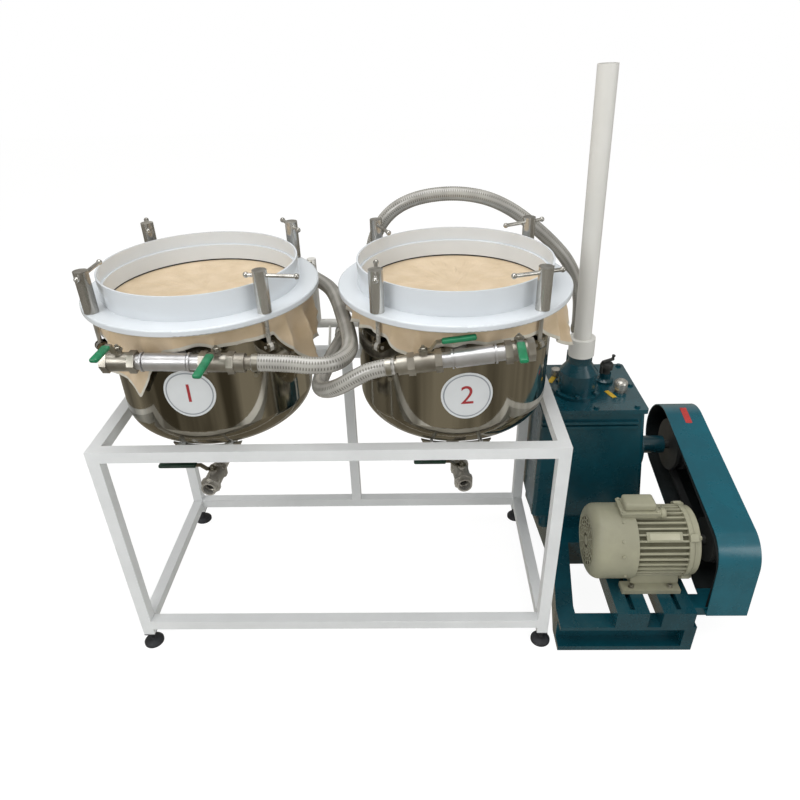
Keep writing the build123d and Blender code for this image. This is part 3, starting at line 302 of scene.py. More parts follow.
def lathe(work, matrix, profile, sides=32, material=0):
    rings = []
    for radius, height in profile:
        angles = [2 * math.pi * s / sides for s in range(sides)] if radius else [0.0]
        spots = [(radius * math.cos(a), radius * math.sin(a)) for a in angles]
        rings.append([work.verts.new(matrix @ Vector((x * mm, y * mm, height * mm))) for x, y in spots])
    for low, high in zip(rings, rings[1:]):
        for s in range(sides):
            t = (s + 1) % sides
            if len(low) == 1:
                corners = (low[0], high[t], high[s])
            elif len(high) == 1:
                corners = (low[s], low[t], high[0])
            else:
                corners = (low[s], low[t], high[t], high[s])
            work.faces.new(corners).material_index = material


def block(work, matrix, size, edge=0.0, material=0):
    known = set(work.faces)
    made = bmesh.ops.create_cube(work, size=1.0, matrix=matrix @ Matrix.Diagonal((*[v * mm for v in size], 1.0)))
    if edge:
        edges = list({e for v in made["verts"] for e in v.link_edges})
        bmesh.ops.bevel(work, geom=edges, offset=edge * mm, segments=3, profile=0.5, affect="EDGES")
    for face in set(work.faces) - known:
        face.material_index = material


def prism(work, matrix, outline, depth, material=0):
    low = [work.verts.new(matrix @ Vector((x * mm, y * mm, 0))) for x, y in outline]
    high = [work.verts.new(matrix @ Vector((x * mm, y * mm, depth * mm))) for x, y in outline]
    faces = [work.faces.new(low[::-1]), work.faces.new(high)]
    for k in range(len(outline)):
        n = (k + 1) % len(outline)
        faces.append(work.faces.new((low[k], low[n], high[n], high[k])))
    for face in faces:
        face.material_index = material


def finishPiece(mesh, name, finishNames, body=machine, replaced=()):
    if len(mesh.materials):
        mesh.materials.clear()
    for finish in finishNames:
        mesh.materials.append(finishes[finish])
    mesh.polygons.foreach_set("use_smooth", [True] * len(mesh.polygons))
    mesh.set_sharp_from_angle(angle=math.radians(34))
    piece = newObject(name, mesh)
    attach(piece, body)
    if replaced:
        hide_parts(*replaced)
    return piece


def toMesh(work, name):
    bmesh.ops.recalc_face_normals(work, faces=work.faces)
    mesh = bpy.data.meshes.new(name)
    work.to_mesh(mesh)
    work.free()
    return mesh


def aroundRing(name, source, count, radius, matrix, finish):
    # Copies of one small mesh on a circle, each turned to face outwards
    tree = bpy.data.node_groups.new(name, "GeometryNodeTree")
    tree.interface.new_socket(name="Geometry", in_out="OUTPUT", socket_type="NodeSocketGeometry")
    countInput = tree.interface.new_socket(name="Count", in_out="INPUT", socket_type="NodeSocketInt")
    radiusInput = tree.interface.new_socket(name="Radius", in_out="INPUT", socket_type="NodeSocketFloat")
    inputs = addNode(tree, "NodeGroupInput")
    circle = addNode(tree, "GeometryNodeMeshCircle", values={
        "Vertices": inputs.outputs["Count"], "Radius": inputs.outputs["Radius"]})
    where = addNode(tree, "GeometryNodeInputPosition")
    turned = addNode(tree, "FunctionNodeAlignRotationToVector", {"axis": "X", "pivot_axis": "Z"}, {
        "Vector": where.outputs["Position"]})
    shape = addNode(tree, "GeometryNodeObjectInfo", values={"Object": source})
    copies = addNode(tree, "GeometryNodeInstanceOnPoints", values={
        "Points": circle.outputs["Mesh"], "Instance": shape.outputs["Geometry"], "Rotation": turned.outputs["Rotation"]})
    real = addNode(tree, "GeometryNodeRealizeInstances", values={"Geometry": copies.outputs["Instances"]})
    coat = addNode(tree, "GeometryNodeSetMaterial", values={
        "Geometry": real.outputs["Geometry"], "Material": finishes[finish]})
    addNode(tree, "NodeGroupOutput", values={0: coat.outputs["Geometry"]})
    holder = newObject(name, bpy.data.meshes.new(name))
    modifier = holder.modifiers.new("copies", "NODES")
    modifier.node_group = tree
    modifier[countInput.identifier] = count
    modifier[radiusInput.identifier] = radius * mm
    graph = bpy.context.evaluated_depsgraph_get()
    mesh = bpy.data.meshes.new_from_object(holder.evaluated_get(graph))
    mesh.transform(matrix)
    bpy.data.objects.remove(holder)
    bpy.data.objects.remove(source)
    return mesh


def sourceOf(work, name):
    return newObject(name, toMesh(work, name))


# Camera: eye height 1.55 m, looking down at the machine from in front of the filter frame
cameraView = {"place": (781.0, -1229.0, 1551.0), "turn": -0.0287, "down": 0.5413, "lean": -0.0278,
              "focal": 649.8, "photoWidth": 800.0, "sensor": 36.0, "nearest": 0.05}
turn, down, lean = cameraView["turn"], cameraView["down"], cameraView["lean"]
forward = Vector((math.sin(turn) * math.cos(down), math.cos(turn) * math.cos(down), -math.sin(down)))
rightward = Vector((math.cos(turn), -math.sin(turn), 0.0))
upward = rightward.cross(forward)
leanRight = rightward * math.cos(lean) + upward * math.sin(lean)
leanUp = upward * math.cos(lean) - rightward * math.sin(lean)
rotation = Matrix((leanRight, leanUp, -forward)).transposed()
camera = newObject("camera", bpy.data.cameras.new("camera"))
camera.data.sensor_width = cameraView["sensor"]
camera.data.lens = cameraView["sensor"] * cameraView["focal"] / cameraView["photoWidth"]
camera.data.clip_start = cameraView["nearest"]
camera.matrix_world = Matrix.Translation(place(*cameraView["place"])) @ rotation.to_4x4()
bpy.context.scene.camera = camera
print("camera set")


# Suction pipes: how they slope, and a place along one
pipeSlope = {"left": math.radians(-1.5), "right": math.radians(7.0)}


def pipeWay(side):
    return Vector((math.cos(pipeSlope[side]), 0, math.sin(pipeSlope[side])))


def alongPipe(side, station):
    return Vector((tubX[side], cornerY, valveZ)) + pipeWay(side) * station


# Hoses: each follows one smooth line through the route's points
def smoothLine(points):
    data = bpy.data.curves.new("line", "CURVE")
    data.dimensions = "3D"
    spline = data.splines.new("NURBS")
    spline.points.add(len(points) - 1)
    for point, at in zip(spline.points, points):
        point.co = (*at, 1.0)
    spline.order_u = 3
    spline.use_endpoint_u = True
    data.resolution_u = 24
    holder = newObject("line", data)
    bpy.context.view_layer.update()
    mesh = bpy.data.meshes.new_from_object(holder)
    line = [v.co.copy() for v in mesh.vertices]
    bpy.data.objects.remove(holder)
    bpy.data.meshes.remove(mesh)
    return line


def evenSteps(line, step):
    total = sum((b - a).length for a, b in zip(line, line[1:]))
    count = max(2, round(total / step))
    spaced, index, walked = [line[0]], 0, 0.0
    for k in range(1, count):
        target = total * k / count
        while walked + (line[index + 1] - line[index]).length < target:
            walked += (line[index + 1] - line[index]).length
            index += 1
        part = (target - walked) / (line[index + 1] - line[index]).length
        spaced.append(line[index].lerp(line[index + 1], part))
    return spaced + [line[-1]], total


def ribbedTube(name, line, radius, sides, rib, ribDepth, finish):
    points, faces, uvs = [], [], []
    across = Vector((0, 0, 1)).cross(line[1] - line[0])
    across = across.normalized() if across.length > 1e-6 else Vector((1, 0, 0))
    walked = 0.0
    for k, at in enumerate(line):
        ahead = (line[min(k + 1, len(line) - 1)] - line[max(k - 1, 0)]).normalized()
        across = (across - ahead * across.dot(ahead)).normalized()
        over = ahead.cross(across)
        walked += (at - line[k - 1]).length if k else 0.0
        size = radius - ribDepth * (0.5 - 0.5 * math.cos(2 * math.pi * walked / rib))
        for s in range(sides + 1):
            angle = 2 * math.pi * s / sides
            points.append(at + across * math.cos(angle) * size + over * math.sin(angle) * size)
            uvs.append((angle * radius, walked))
    row = sides + 1
    for k in range(len(line) - 1):
        for s in range(sides):
            faces.append((k * row + s, k * row + s + 1, (k + 1) * row + s + 1, (k + 1) * row + s))
    for k, order in ((0, -1), (len(line) - 1, 1)):
        ring = [k * row + s for s in range(sides)][::order]
        faces.append(tuple(ring))
    piece = makePiece(name, points, faces, finish, uvs)
    work = bmesh.new()
    work.from_mesh(piece.data)
    bmesh.ops.remove_doubles(work, verts=work.verts, dist=1e-6)
    bmesh.ops.recalc_face_normals(work, faces=work.faces)
    work.to_mesh(piece.data)
    work.free()
    return piece


hoseLook = {"radius": 19.0, "rib": 5.8, "ribDepth": 0.5, "step": 1.45, "sides": 28,
            "leftBarb": 168.3, "rightBarb": -142.3}
hoseRoutes = {
    "hose_left": [alongPipe("left", hoseLook["leftBarb"]) * mm] + [place(*p) for p in (
        (500, 0, 908), (560, 2, 898), (604, 18, 894), (630, 62, 893), (632, 118, 892), (620, 190, 894), (601, 270, 898),
        (582, 350, 904), (556, 425, 911), (512, 484, 915), (478, 526, 915), (478, 569.7, 915))],
    "hose_right": [alongPipe("right", hoseLook["rightBarb"]) * mm] + [place(*p) for p in (
        (690, 0, 891), (645, 0, 866), (606, 10, 838), (570, 46, 812), (552, 100, 796), (556, 160, 796), (570, 225, 804),
        (582, 295, 806), (582, 370, 788), (574, 445, 757), (562, 510, 728), (560, 540, 721), (560, 569.7, 721))],
    "hose_arch": [place(*p) for p in (
        (652, 620, 800.3), (652, 620, 870), (656, 616, 950), (678, 608, 1018), (718, 602, 1068), (772, 600, 1098),
        (840, 600, 1112), (915, 600, 1113), (990, 600, 1098), (1056, 600, 1066), (1116, 600, 1022), (1176, 600, 970),
        (1228, 600, 914), (1264, 599, 842), (1278, 598, 764), (1278, 598, 690.3))],
}
for name, route in hoseRoutes.items():
    line, hoseLength = evenSteps(smoothLine(route), hoseLook["step"] * mm)
    hose = ribbedTube(f"clear_{name}", line, hoseLook["radius"] * mm, hoseLook["sides"], hoseLook["rib"] * mm,
                      hoseLook["ribDepth"] * mm, "hose")
    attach(hose, machine)
    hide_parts(name)
    print("hose", name, round(hoseLength, 3))


# Filter cloths: each lies flat on the screen, hangs over the tub's rim and is notched at the swing bolts
clothCut = {
    "rim": 257.0, "top": 968.0, "thickness": 1.4, "tape": 9.0, "spokes": 480, "rows": 24,
    "inner": (12, 25, 45, 60, 75, 90, 105, 120, 135, 150, 165, 178, 190, 200, 210, 220, 230, 240, 249),
    "folds": 10, "foldDepth": 8.5, "sway": 9.0, "inward": 9.5, "pipeSpan": 34,
    "seed": {"left": 3.1, "right": 8.7},
    "bolts": {"left": (-139, -45, 42, 134), "right": (-132, -48, 41, 137)},
    "lean": {"left": ((-118, 9), (-15, 20), (68, 12), (157, 12)),
             "right": ((-114, 10), (-17, 27), (68, 12), (160, 12))},
    # How far the edge hangs down at each angle
    "left": ((-180, 52), (-165, 64), (-152, 56), (-143, 44), (-135, 44), (-130, 96), (-118, 181), (-108, 118),
             (-98, 52), (-90, 40), (-80, 34), (-70, 42), (-60, 47), (-50, 44), (-40, 46), (-33, 92), (-15, 168),
             (-2, 120), (10, 76), (24, 56), (38, 44), (46, 44), (56, 72), (68, 116), (80, 74), (95, 52),
             (115, 46), (130, 44), (138, 44), (147, 82), (157, 116), (167, 78)),
    "right": ((-180, 46), (-165, 52), (-150, 46), (-136, 42), (-128, 42), (-122, 70), (-114, 84), (-106, 56),
              (-98, 40), (-86, 36), (-72, 40), (-60, 46), (-52, 43), (-44, 43), (-37, 66), (-17, 128), (-4, 98),
              (10, 66), (26, 50), (37, 43), (45, 43), (56, 72), (68, 116), (81, 72), (100, 48), (120, 43),
              (133, 43), (141, 43), (150, 82), (160, 116), (171, 72)),
}


def valueAt(table, angle):
    wrapped = sorted([(a + whole, v) for a, v in table for whole in (-360, 0, 360)])
    for (a0, v0), (a1, v1) in zip(wrapped, wrapped[1:]):
        if a0 <= angle < a1:
            return v0 + (v1 - v0) * (angle - a0) / (a1 - a0)
    return wrapped[-1][1]


def hangAt(side, angle):
    return sum(valueAt(clothCut[side], angle + step) for step in (-1.5, -0.75, 0, 0.75, 1.5)) / 5


def lyingPoint(along, reach, seed):
    # On the screen the cloth lies in low creases that end before the ring
    crease = noise.noise(Vector((along.x * reach / 60, along.y * reach / 34, seed)))
    fine = noise.noise(Vector((along.x * reach / 15, along.y * reach / 20, 5.0 + seed)))
    lift = (2.4 * (1 - min(1, abs(crease) * 9)) + 0.8 * fine) * min(1.0, max(0.0, (222 - reach) / 30))
    return along * reach + Vector((0, 0, clothCut["top"] + max(lift, 0.0)))


def hangingPoint(side, along, angle, hang, seed):
    # Below the rim it swings out in folds, less at the bolts and behind the pipe
    nearBolt = min(abs((angle - bolt + 180) % 360 - 180) for bolt in clothCut["bolts"][side])
    free = min(1.0, max(0.0, (nearBolt - 3.0) / 7.0))
    byPipe = abs(angle + 90.0) < clothCut["pipeSpan"]
    lean = sum(v * max(0.0, 1 - abs(angle - a) / 24) for a, v in clothCut["lean"][side])
    sway = noise.noise(Vector((angle / 17, hang / 90, seed))) * min(hang / 70.0, 1.6) * (0.35 if byPipe else 1.0)
    drift = noise.noise(Vector((angle / 22, hang / 400, seed)))
    pleat = 1 - 2 * abs(math.sin(math.radians(angle) * clothCut["folds"] + 2.4 * drift)) ** 0.75
    swing = (clothCut["foldDepth"] * pleat * min(hang / 38, 1.7) + clothCut["sway"] * sway
             + lean * min(hang / 150, 1.0)) * free
    swing = min(swing, 4.0) if byPipe else swing
    deepest = -1.2 - clothCut["inward"] * min(1.0, max(0.0, (hang - 12) / 22))
    swing = max(swing, deepest) + 1.4 * math.sin(min(hang / 12, 1.0) * math.pi / 2)
    return along * (clothCut["rim"] + swing) + Vector((0, 0, clothCut["top"] - max(hang - 1.5, 0.0) * 0.985))


def hangingCloth(side):
    spokes, rows, tape, seed = clothCut["spokes"], clothCut["rows"], clothCut["tape"], clothCut["seed"][side]
    innerRings = (*clothCut["inner"], clothCut["rim"])
    centre = Vector((tubX[side], tubY, 0.0))
    points, uvs, faces = [centre + Vector((0, 0, clothCut["top"]))], [(0.0, 0.0)], []
    for ring in range(len(innerRings) + rows + 3):
        for s in range(spokes):
            angle = 360.0 * s / spokes - 180.0
            along = Vector((math.cos(math.radians(angle)), math.sin(math.radians(angle)), 0))
            if ring < len(innerRings):
                reach = innerRings[ring]
                points.append(centre + lyingPoint(along, reach, seed))
            else:
                total = hangAt(side, angle)
                step = ring - len(innerRings) + 1
                hang = (total - tape) * step / rows if step <= rows else total - tape * (rows + 3 - step) / 3
                reach = clothCut["rim"] + hang
                points.append(centre + hangingPoint(side, along, angle, hang, seed))
            uvs.append((along.x * reach * mm, along.y * reach * mm))
    for s in range(spokes):
        faces.append((0, 1 + s, 1 + (s + 1) % spokes))
    for ring in range(len(innerRings) + rows + 2):
        for s in range(spokes):
            a = 1 + ring * spokes + s
            b = 1 + ring * spokes + (s + 1) % spokes
            faces.append((a, a + spokes, b + spokes, b))
    return [p * mm for p in points], faces, uvs


for side in ("left", "right"):
    points, faces, uvs = hangingCloth(side)
    cloth = makePiece(f"canvas_{side}", points, faces, "cloth", uvs)
    cloth.data.materials.append(finishes["tape"])
    for polygon in cloth.data.polygons[-3 * clothCut["spokes"]:]:
        polygon.material_index = 1
    solid = cloth.modifiers.new("thickness", "SOLIDIFY")
    solid.thickness = clothCut["thickness"] * mm
    solid.offset = 0.0
    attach(cloth, machine)
    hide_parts(f"filter_cloth_{side}")


# Valve levers: steel strip and nut with a soft sleeve over the grip
leverLook = {
    "stem": 27.3, "hub": 11.0, "strip": 3.0, "stripWidth": 13.0,
    "sleeveWidth": 18.0, "sleeveHeight": 10.0, "sleeveStart": 40.0, "sleeveEdge": 4.4,
    "drainOut": 167.0, "drainWay": {"left": (math.radians(-3.0), 517.0), "right": (math.radians(6.0), 521.0)},
    # Tub, place along the pipe, angle, length and rise of each
    "levers": {
        "vent_lever_left": ("left", -116.0, -91.0, 104.0, 26.0),
        "hose_lever_left": ("left", 95.0, -91.5, 134.0, 9.0),
        "vent_lever_right": ("right", 124.0, -93.0, 120.0, 9.0),
        "hose_lever_right": ("right", -77.0, 0.0, 114.0, 16.0),
        "drain_lever_left": ("left", None, 180.0, 138.0, 12.0),
        "drain_lever_right": ("right", None, 180.0, 122.0, 12.0),
    },
}
for name, (side, station, angle, length, rise) in leverLook["levers"].items():
    if station is None:
        turnedBy, drainZ = leverLook["drainWay"][side]
        out = leverLook["drainOut"]
        origin = Vector((tubX[side] + out * math.sin(turnedBy), tubY - out * math.cos(turnedBy), drainZ))
        seatX, grip = Vector((1, 0, 0)), "darkGrip"
    else:
        origin, seatX, grip = alongPipe(side, station), pipeWay(side), "grip"
    seatZ = Vector((-seatX.z, 0, seatX.x))
    seatY = seatZ.cross(seatX)
    hub = (origin + seatZ * leverLook["stem"]) * mm
    along = seatX * math.cos(math.radians(angle)) + seatY * math.sin(math.radians(angle))
    upright = frameAt(hub, seatZ, along)
    sideways = frameAt(hub, along.cross(seatZ), along)
    thick, start, width = leverLook["strip"], leverLook["sleeveStart"], leverLook["stripWidth"]
    work = bmesh.new()
    lathe(work, upright, ((0, 0), (leverLook["hub"], 0), (leverLook["hub"], thick), (0, thick)), 24)
    outline = ((6, 0), (16, 0), (start - 10, rise), (length - 6, rise), (length - 6, rise + thick),
               (start - 11, rise + thick), (15, thick), (6, thick))
    prism(work, sideways @ Matrix.Translation((0, 0, -width / 2 * mm)), outline, width)
    block(work, upright @ Matrix.Translation(Vector(((start + length) / 2, 0, rise + thick / 2)) * mm),
          (length - start, leverLook["sleeveWidth"], leverLook["sleeveHeight"]), leverLook["sleeveEdge"], 1)
    nut = ((0, thick), (7.5, thick), (7.5, thick + 5), (6.2, thick + 6), (3.4, thick + 6), (3.4, thick + 10),
           (0, thick + 10))
    lathe(work, upright, nut, 6)
    finishPiece(toMesh(work, name), f"{name}_detailed", ("zinc", grip), name, (name,))
print("levers ready")

# Hose clamps on the barbs: a steel band with its worm screw
clampLook = {"radius": 20.2, "band": 1.6, "width": 12.0, "screw": 5.0, "screwLength": 22.0}
clampSpots = (
    (alongPipe("left", 176.0) * mm, pipeWay("left"), (0, 0, -1)),
    (alongPipe("right", -156.0) * mm, pipeWay("right"), (0, 0, -1)),
    (place(478, 558, 915), (0, 1, 0), (0, 0, 1)),
    (place(560, 558, 721), (0, 1, 0), (0, 0, 1)),
    (place(652, 620, 812), (0, 0, 1), (0, -1, 0)),
    (place(1278, 598, 704), (0, 0, 1), (0, -1, 0)),
)
work = bmesh.new()
for spot, way, towards in clampSpots:
    half, radius, inner = clampLook["width"] / 2, clampLook["radius"], clampLook["radius"] - clampLook["band"]
    screw, length = clampLook["screw"], clampLook["screwLength"]
    band = frameAt(spot, way, towards)
    lathe(work, band, ((inner, -half), (radius, -half), (radius, half), (inner, half), (inner, -half)), 36)
    screwAt = spot + band.to_3x3() @ Vector((radius + screw - 1, 0, 0)) * mm
    across = band.to_3x3() @ Vector((0, 1, 0))
    lathe(work, frameAt(screwAt - across * length / 2 * mm, across),
          ((0, 0), (screw, 0), (screw, length), (0, length)), 12)
finishPiece(toMesh(work, "hoseClamps"), "hose_clamps", ("zinc",))
print("clamps ready")

# Round labels on the tubs: a white disc with a thin grey ring and a plain number
labelLook = {"radius": 60.0, "ring": (52.0, 55.0), "lifts": (0.35, 0.55, 0.6), "size": 67.5, "sides": 64, "rows": 8,
             "left": (-89.5, 812.0, "1"), "right": (-85.4, 797.0, "2")}


def onTub(side, angle, z, x, y, lift):
    turned, out = math.radians(angle) + x / tubRadius, tubRadius + lift
    return Vector((tubX[side] + out * math.cos(turned), tubY + out * math.sin(turned), z + y)) * mm


def numberMesh(number):
    text = bpy.data.curves.new("number", "FONT")
    text.body = number
    text.align_x, text.align_y = "CENTER", "CENTER"
    text.size = labelLook["size"]
    holder = newObject("number", text)
    bpy.context.view_layer.update()
    flat = bpy.data.meshes.new_from_object(holder)
    bpy.data.objects.remove(holder)
    fine = bmesh.new()
    fine.from_mesh(flat)
    bmesh.ops.triangulate(fine, faces=fine.faces)
    bmesh.ops.subdivide_edges(fine, edges=fine.edges, cuts=4, use_grid_fill=True)
    return fine


discLift, ringLift, numberLift = labelLook["lifts"]
sides, rows = labelLook["sides"], labelLook["rows"]
circle = [(math.cos(2 * math.pi * a / sides), math.sin(2 * math.pi * a / sides)) for a in range(sides)]
for side in ("left", "right"):
    angle, z, number = labelLook[side]
    work = bmesh.new()
    for inner, outer, lift, material in ((0.0, labelLook["radius"], discLift, 0), (*labelLook["ring"], ringLift, 1)):
        levels = [inner + (outer - inner) * k / rows for k in range(rows + 1)]
        rings = [[work.verts.new(onTub(side, angle, z, r * c, r * s, lift)) for c, s in circle]
                 for r in levels if r > 0]
        if inner == 0.0:
            middle = work.verts.new(onTub(side, angle, z, 0, 0, lift))
            for a in range(sides):
                work.faces.new((middle, rings[0][a], rings[0][(a + 1) % sides])).material_index = material
        for low, high in zip(rings, rings[1:]):
            for a in range(sides):
                b = (a + 1) % sides
                work.faces.new((low[a], high[a], high[b], low[b])).material_index = material
    fine = numberMesh(number)
    spots = {v: work.verts.new(onTub(side, angle, z, v.co.x, v.co.y, numberLift)) for v in fine.verts}
    for face in fine.faces:
        work.faces.new([spots[v] for v in face.verts]).material_index = 2
    fine.free()
    mesh = bpy.data.meshes.new("label")
    work.to_mesh(mesh)
    work.free()
    finishPiece(mesh, f"round_label_{side}", ("sticker", "stickerRim", "stickerNumber"))
print("labels ready")

# Saddle plates under the bowls, between the gussets: their upper edge follows the bowl
saddleLook = {"width": 172.0, "thickness": 6.0, "reach": 70.0, "bottom": 618.0, "rail": 30.0, "chamfer": 12.0,
              "bowlTop": 709.5, "bowlDepth": 115.6, "bowlRadius": 240.6, "gap": 0.3}
work = bmesh.new()
for side in ("left", "right"):
    for sign in (-1, 1):
        offsetY = sign * (tubY - cornerY - saddleLook["rail"] - saddleLook["reach"])
        half, chamfer, thick = saddleLook["width"] / 2, saddleLook["chamfer"], saddleLook["thickness"]
        outline = [(-half + chamfer, saddleLook["bottom"]), (half - chamfer, saddleLook["bottom"])]
        for k in range(17):
            x = half - saddleLook["width"] * k / 16
            inside = max(0.0, 1 - (x * x + offsetY * offsetY) / saddleLook["bowlRadius"] ** 2)
            depth = saddleLook["bowlDepth"] * math.sqrt(inside)
            outline.append((x, saddleLook["bowlTop"] - depth - saddleLook["gap"]))
        face = Vector((tubX[side], tubY + offsetY + sign * thick / 2, 0)) * mm
        prism(work, frameAt(face, (0, -1, 0), (1, 0, 0)), outline, thick)
finishPiece(toMesh(work, "saddlePlates"), "saddle_plates", ("satinSteel",))

# Motor: cooling fins, fan grille, end shield lugs, stepped terminal box, bare plate and plugs
motorLook = {
    "y": 148.5, "z": 252.5, "left": 1257.0, "cover": 1372.0, "body": 1515.0,
    "fins": 36, "finTop": 99.0, "finDepth": 12.0, "finThickness": 5.6,
    "bars": 16, "barReach": 70.0, "grilleRings": (24, 35, 46, 57, 69), "ringHalf": 1.3,
    "lugs": 4, "lugReach": 98.0, "plateX": 1441.0, "plateAngle": 43.0, "plateReach": 99.0,
    "plugs": (((1330, 43.3, 286), (0, -1, 0)), ((1330, 68.5, 320), (0, -0.77, 0.64)),
              ((1336, 110, 350.5), (0, -0.35, 0.94)), ((1345, 50.5, 212), (0, -0.9, -0.43))),
    # The terminal box: its middle, then size, height and edge of each step
    "box": (1384.0, 155.5),
    "boxSteps": (((84, 50, 26), 344, 4), ((100, 62, 18), 357, 5), ((106, 68, 5), 368.5, 2), ((84, 50, 24), 382, 7)),
}


def motorFrame(x, xAxis=(0, 0, 1)):
    return frameAt(place(x, motorLook["y"], motorLook["z"]), (1, 0, 0), xAxis)


work = bmesh.new()
finLength = motorLook["body"] - motorLook["cover"] - 2
block(work, Matrix.Translation(Vector((-motorLook["finDepth"] / 2, 0, finLength / 2 + 1)) * mm),
      (motorLook["finDepth"], motorLook["finThickness"], finLength), 1.4)
fins = aroundRing("finRing", sourceOf(work, "fin"), motorLook["fins"], motorLook["finTop"],
                  motorFrame(motorLook["cover"]), "motor")
finishPiece(fins, "motor_fins", ("motor",))
work = bmesh.new()
block(work, Matrix.Translation(Vector((-23, 0, 0)) * mm), (46, 3.0, 3.0), 0.5)
grilleAt = motorFrame(motorLook["left"] - 0.6)
bars = aroundRing("grilleBars", sourceOf(work, "grilleBar"), motorLook["bars"], motorLook["barReach"],
                  grilleAt, "motor")
finishPiece(bars, "fan_grille_bars", ("motor",))
work = bmesh.new()
# A disc of painted shade behind the grille rings
lathe(work, grilleAt, ((0, 0.4), (71, 0.4), (71, 1.2), (0, 1.2)), 48, 1)
for radius in motorLook["grilleRings"]:
    inner, outer = radius - motorLook["ringHalf"], radius + motorLook["ringHalf"]
    lathe(work, grilleAt, ((inner, -1.2), (outer, -1.2), (outer, 0.8), (inner, 0.8), (inner, -1.2)), 48)
lathe(work, grilleAt, ((0, -1.6), (12, -1.6), (14, 0.8), (0, 0.8)))
finishPiece(toMesh(work, "grilleRings"), "fan_grille", ("motor", "grilleDark"))
work = bmesh.new()
block(work, Matrix.Translation(Vector((-4, 0, 0)) * mm), (26, 22, 24), 3.0)
lathe(work, Matrix.Translation(Vector((0, 0, 12)) * mm), ((0, 0), (7, 0), (7, 6), (5.5, 7.5), (0, 7.5)), 6)
shieldAt = motorFrame(motorLook["body"] + 4, (0, 0.7071, 0.7071))
lugs = aroundRing("shieldLugs", sourceOf(work, "lug"), motorLook["lugs"], motorLook["lugReach"], shieldAt, "motor")
finishPiece(lugs, "shield_lugs", ("motor",))
work = bmesh.new()
shieldFace = motorFrame(motorLook["body"], (0, 1, 0))
lathe(work, shieldFace, ((90, -8), (100.5, -8), (100.5, 3), (97, 8), (97, 12), (90, 12)), 64)
lathe(work, shieldFace, ((40, 22.5), (74, 22.5), (74, 27), (60, 29.5), (40, 29.5)), 48)
for spot, way in motorLook["plugs"]:
    lathe(work, frameAt(place(*spot), way), ((0, -2), (4.5, -2), (4.5, 2.2), (3.4, 3.2), (0, 3.2)), 20)
# A thin sleeve of painted shade on the body, dark between the fins
finsFrom = -3 - finLength
lathe(work, shieldFace, ((90.2, finsFrom), (91.2, finsFrom), (91.2, -1), (90.2, -1), (90.2, finsFrom)), 64, 2)
boxX, boxY = motorLook["box"]
for size, z, edge in motorLook["boxSteps"]:
    block(work, frameAt(place(boxX, boxY, z), (0, 0, 1)), size, edge)
gland = ((0, 0), (13, 0), (13, 14), (15.5, 14), (15.5, 24), (12, 28), (8, 28), (0, 24))
lathe(work, frameAt(place(boxX + 44, boxY - 16, 357), (1, 0, 0)), gland, 20)
for dx in (-46, 46):
    for dy in (-28, 28):
        screwAt = frameAt(place(boxX + dx, boxY + dy, 370.5), (0, 0, 1))
        lathe(work, screwAt, ((0, 0), (4.5, 0), (4.5, 3), (3.4, 4), (0, 4)), 16)
plateTilt, plateReach = math.radians(motorLook["plateAngle"]), motorLook["plateReach"]
plateAt = place(motorLook["plateX"], motorLook["y"] - plateReach * math.sin(plateTilt),
                motorLook["z"] + plateReach * math.cos(plateTilt))
plateWay = (0, -math.sin(plateTilt), math.cos(plateTilt))
block(work, frameAt(plateAt, plateWay, (1, 0, 0)), (96, 26, 6), 2.0)
block(work, frameAt(plateAt + Vector(plateWay) * 0.0032, plateWay, (1, 0, 0)), (78, 17, 1.2), 0.4, 1)
finishPiece(toMesh(work, "motorFittings"), "motor_fittings", ("motor", "motorPlate", "motorShade"),
            replaced=("terminal_box",))
print("motor ready")

# Small parts of the pump: bolts of the motor's feet, the top plate and the exhaust flange, knob, tags and filler
pumpLook = {
    "footBolts": ((1372, 62), (1372, 235), (1478, 62), (1478, 235)), "footZ": 159.2,
    "plateBolts": ((1420.6, 379.1), (1302.2, 376.6), (1434, 630), (1166, 632), (1166, 380), (1436, 505)),
    "flange": (1265, 477, 560.2), "flangeWay": (0.94, 0.34, 0), "flangeBolts": 6, "flangeReach": 62.5,
    "knob": (1395, 471, 578),
    "tags": (((1361.6, 452), 0.35), ((1205, 545), -0.5)),
    "fillerTurn": 0.5,
}
work = bmesh.new()
for x, y in pumpLook["footBolts"]:
    lathe(work, frameAt(place(x, y, pumpLook["footZ"]), (0, 0, 1)),
          ((0, 0), (8.5, 0), (8.5, 1.6), (7.0, 1.6), (7.0, 7.2), (6.0, 8.2), (0, 8.2)), 6)
finishPiece(toMesh(work, "footBolts"), "motor_foot_bolts", ("zinc",))
work = bmesh.new()
for x, y in pumpLook["plateBolts"]:
    lathe(work, frameAt(place(x, y, plateZ), (0, 0, 1)), ((0, 0), (10, 0), (10, 2), (7.5, 2), (7.5, 6), (0, 6)), 6)
finishPiece(toMesh(work, "plateBolts"), "plate_bolts", ("cast",))
work = bmesh.new()
lathe(work, Matrix(), ((0, 0), (7.5, 0), (7.5, 6.5), (6, 7.5), (0, 7.5)), 6)
flangeAt = frameAt(place(*pumpLook["flange"]), (0, 0, 1), pumpLook["flangeWay"])
flangeBolts = aroundRing("flangeBolts", sourceOf(work, "flangeBolt"), pumpLook["flangeBolts"],
                         pumpLook["flangeReach"], flangeAt, "cast")
finishPiece(flangeBolts, "exhaust_flange_bolts", ("cast",))
work = bmesh.new()
lathe(work, frameAt(place(*pumpLook["knob"]), (0, 0, 1)),
      ((0, 0.3), (19.5, 0.3), (20, 2), (18, 6), (13, 10), (6, 12), (0, 12.5)))
finishPiece(toMesh(work, "knobTop"), "ballast_knob_top", ("drainSteel",))
work = bmesh.new()
for (x, y), turned in pumpLook["tags"]:
    tagAt = frameAt(place(x, y, plateZ + 1), (0, 0, 1), (math.cos(turned), math.sin(turned), 0))
    block(work, tagAt, (15, 42, 1.4), 0.4)
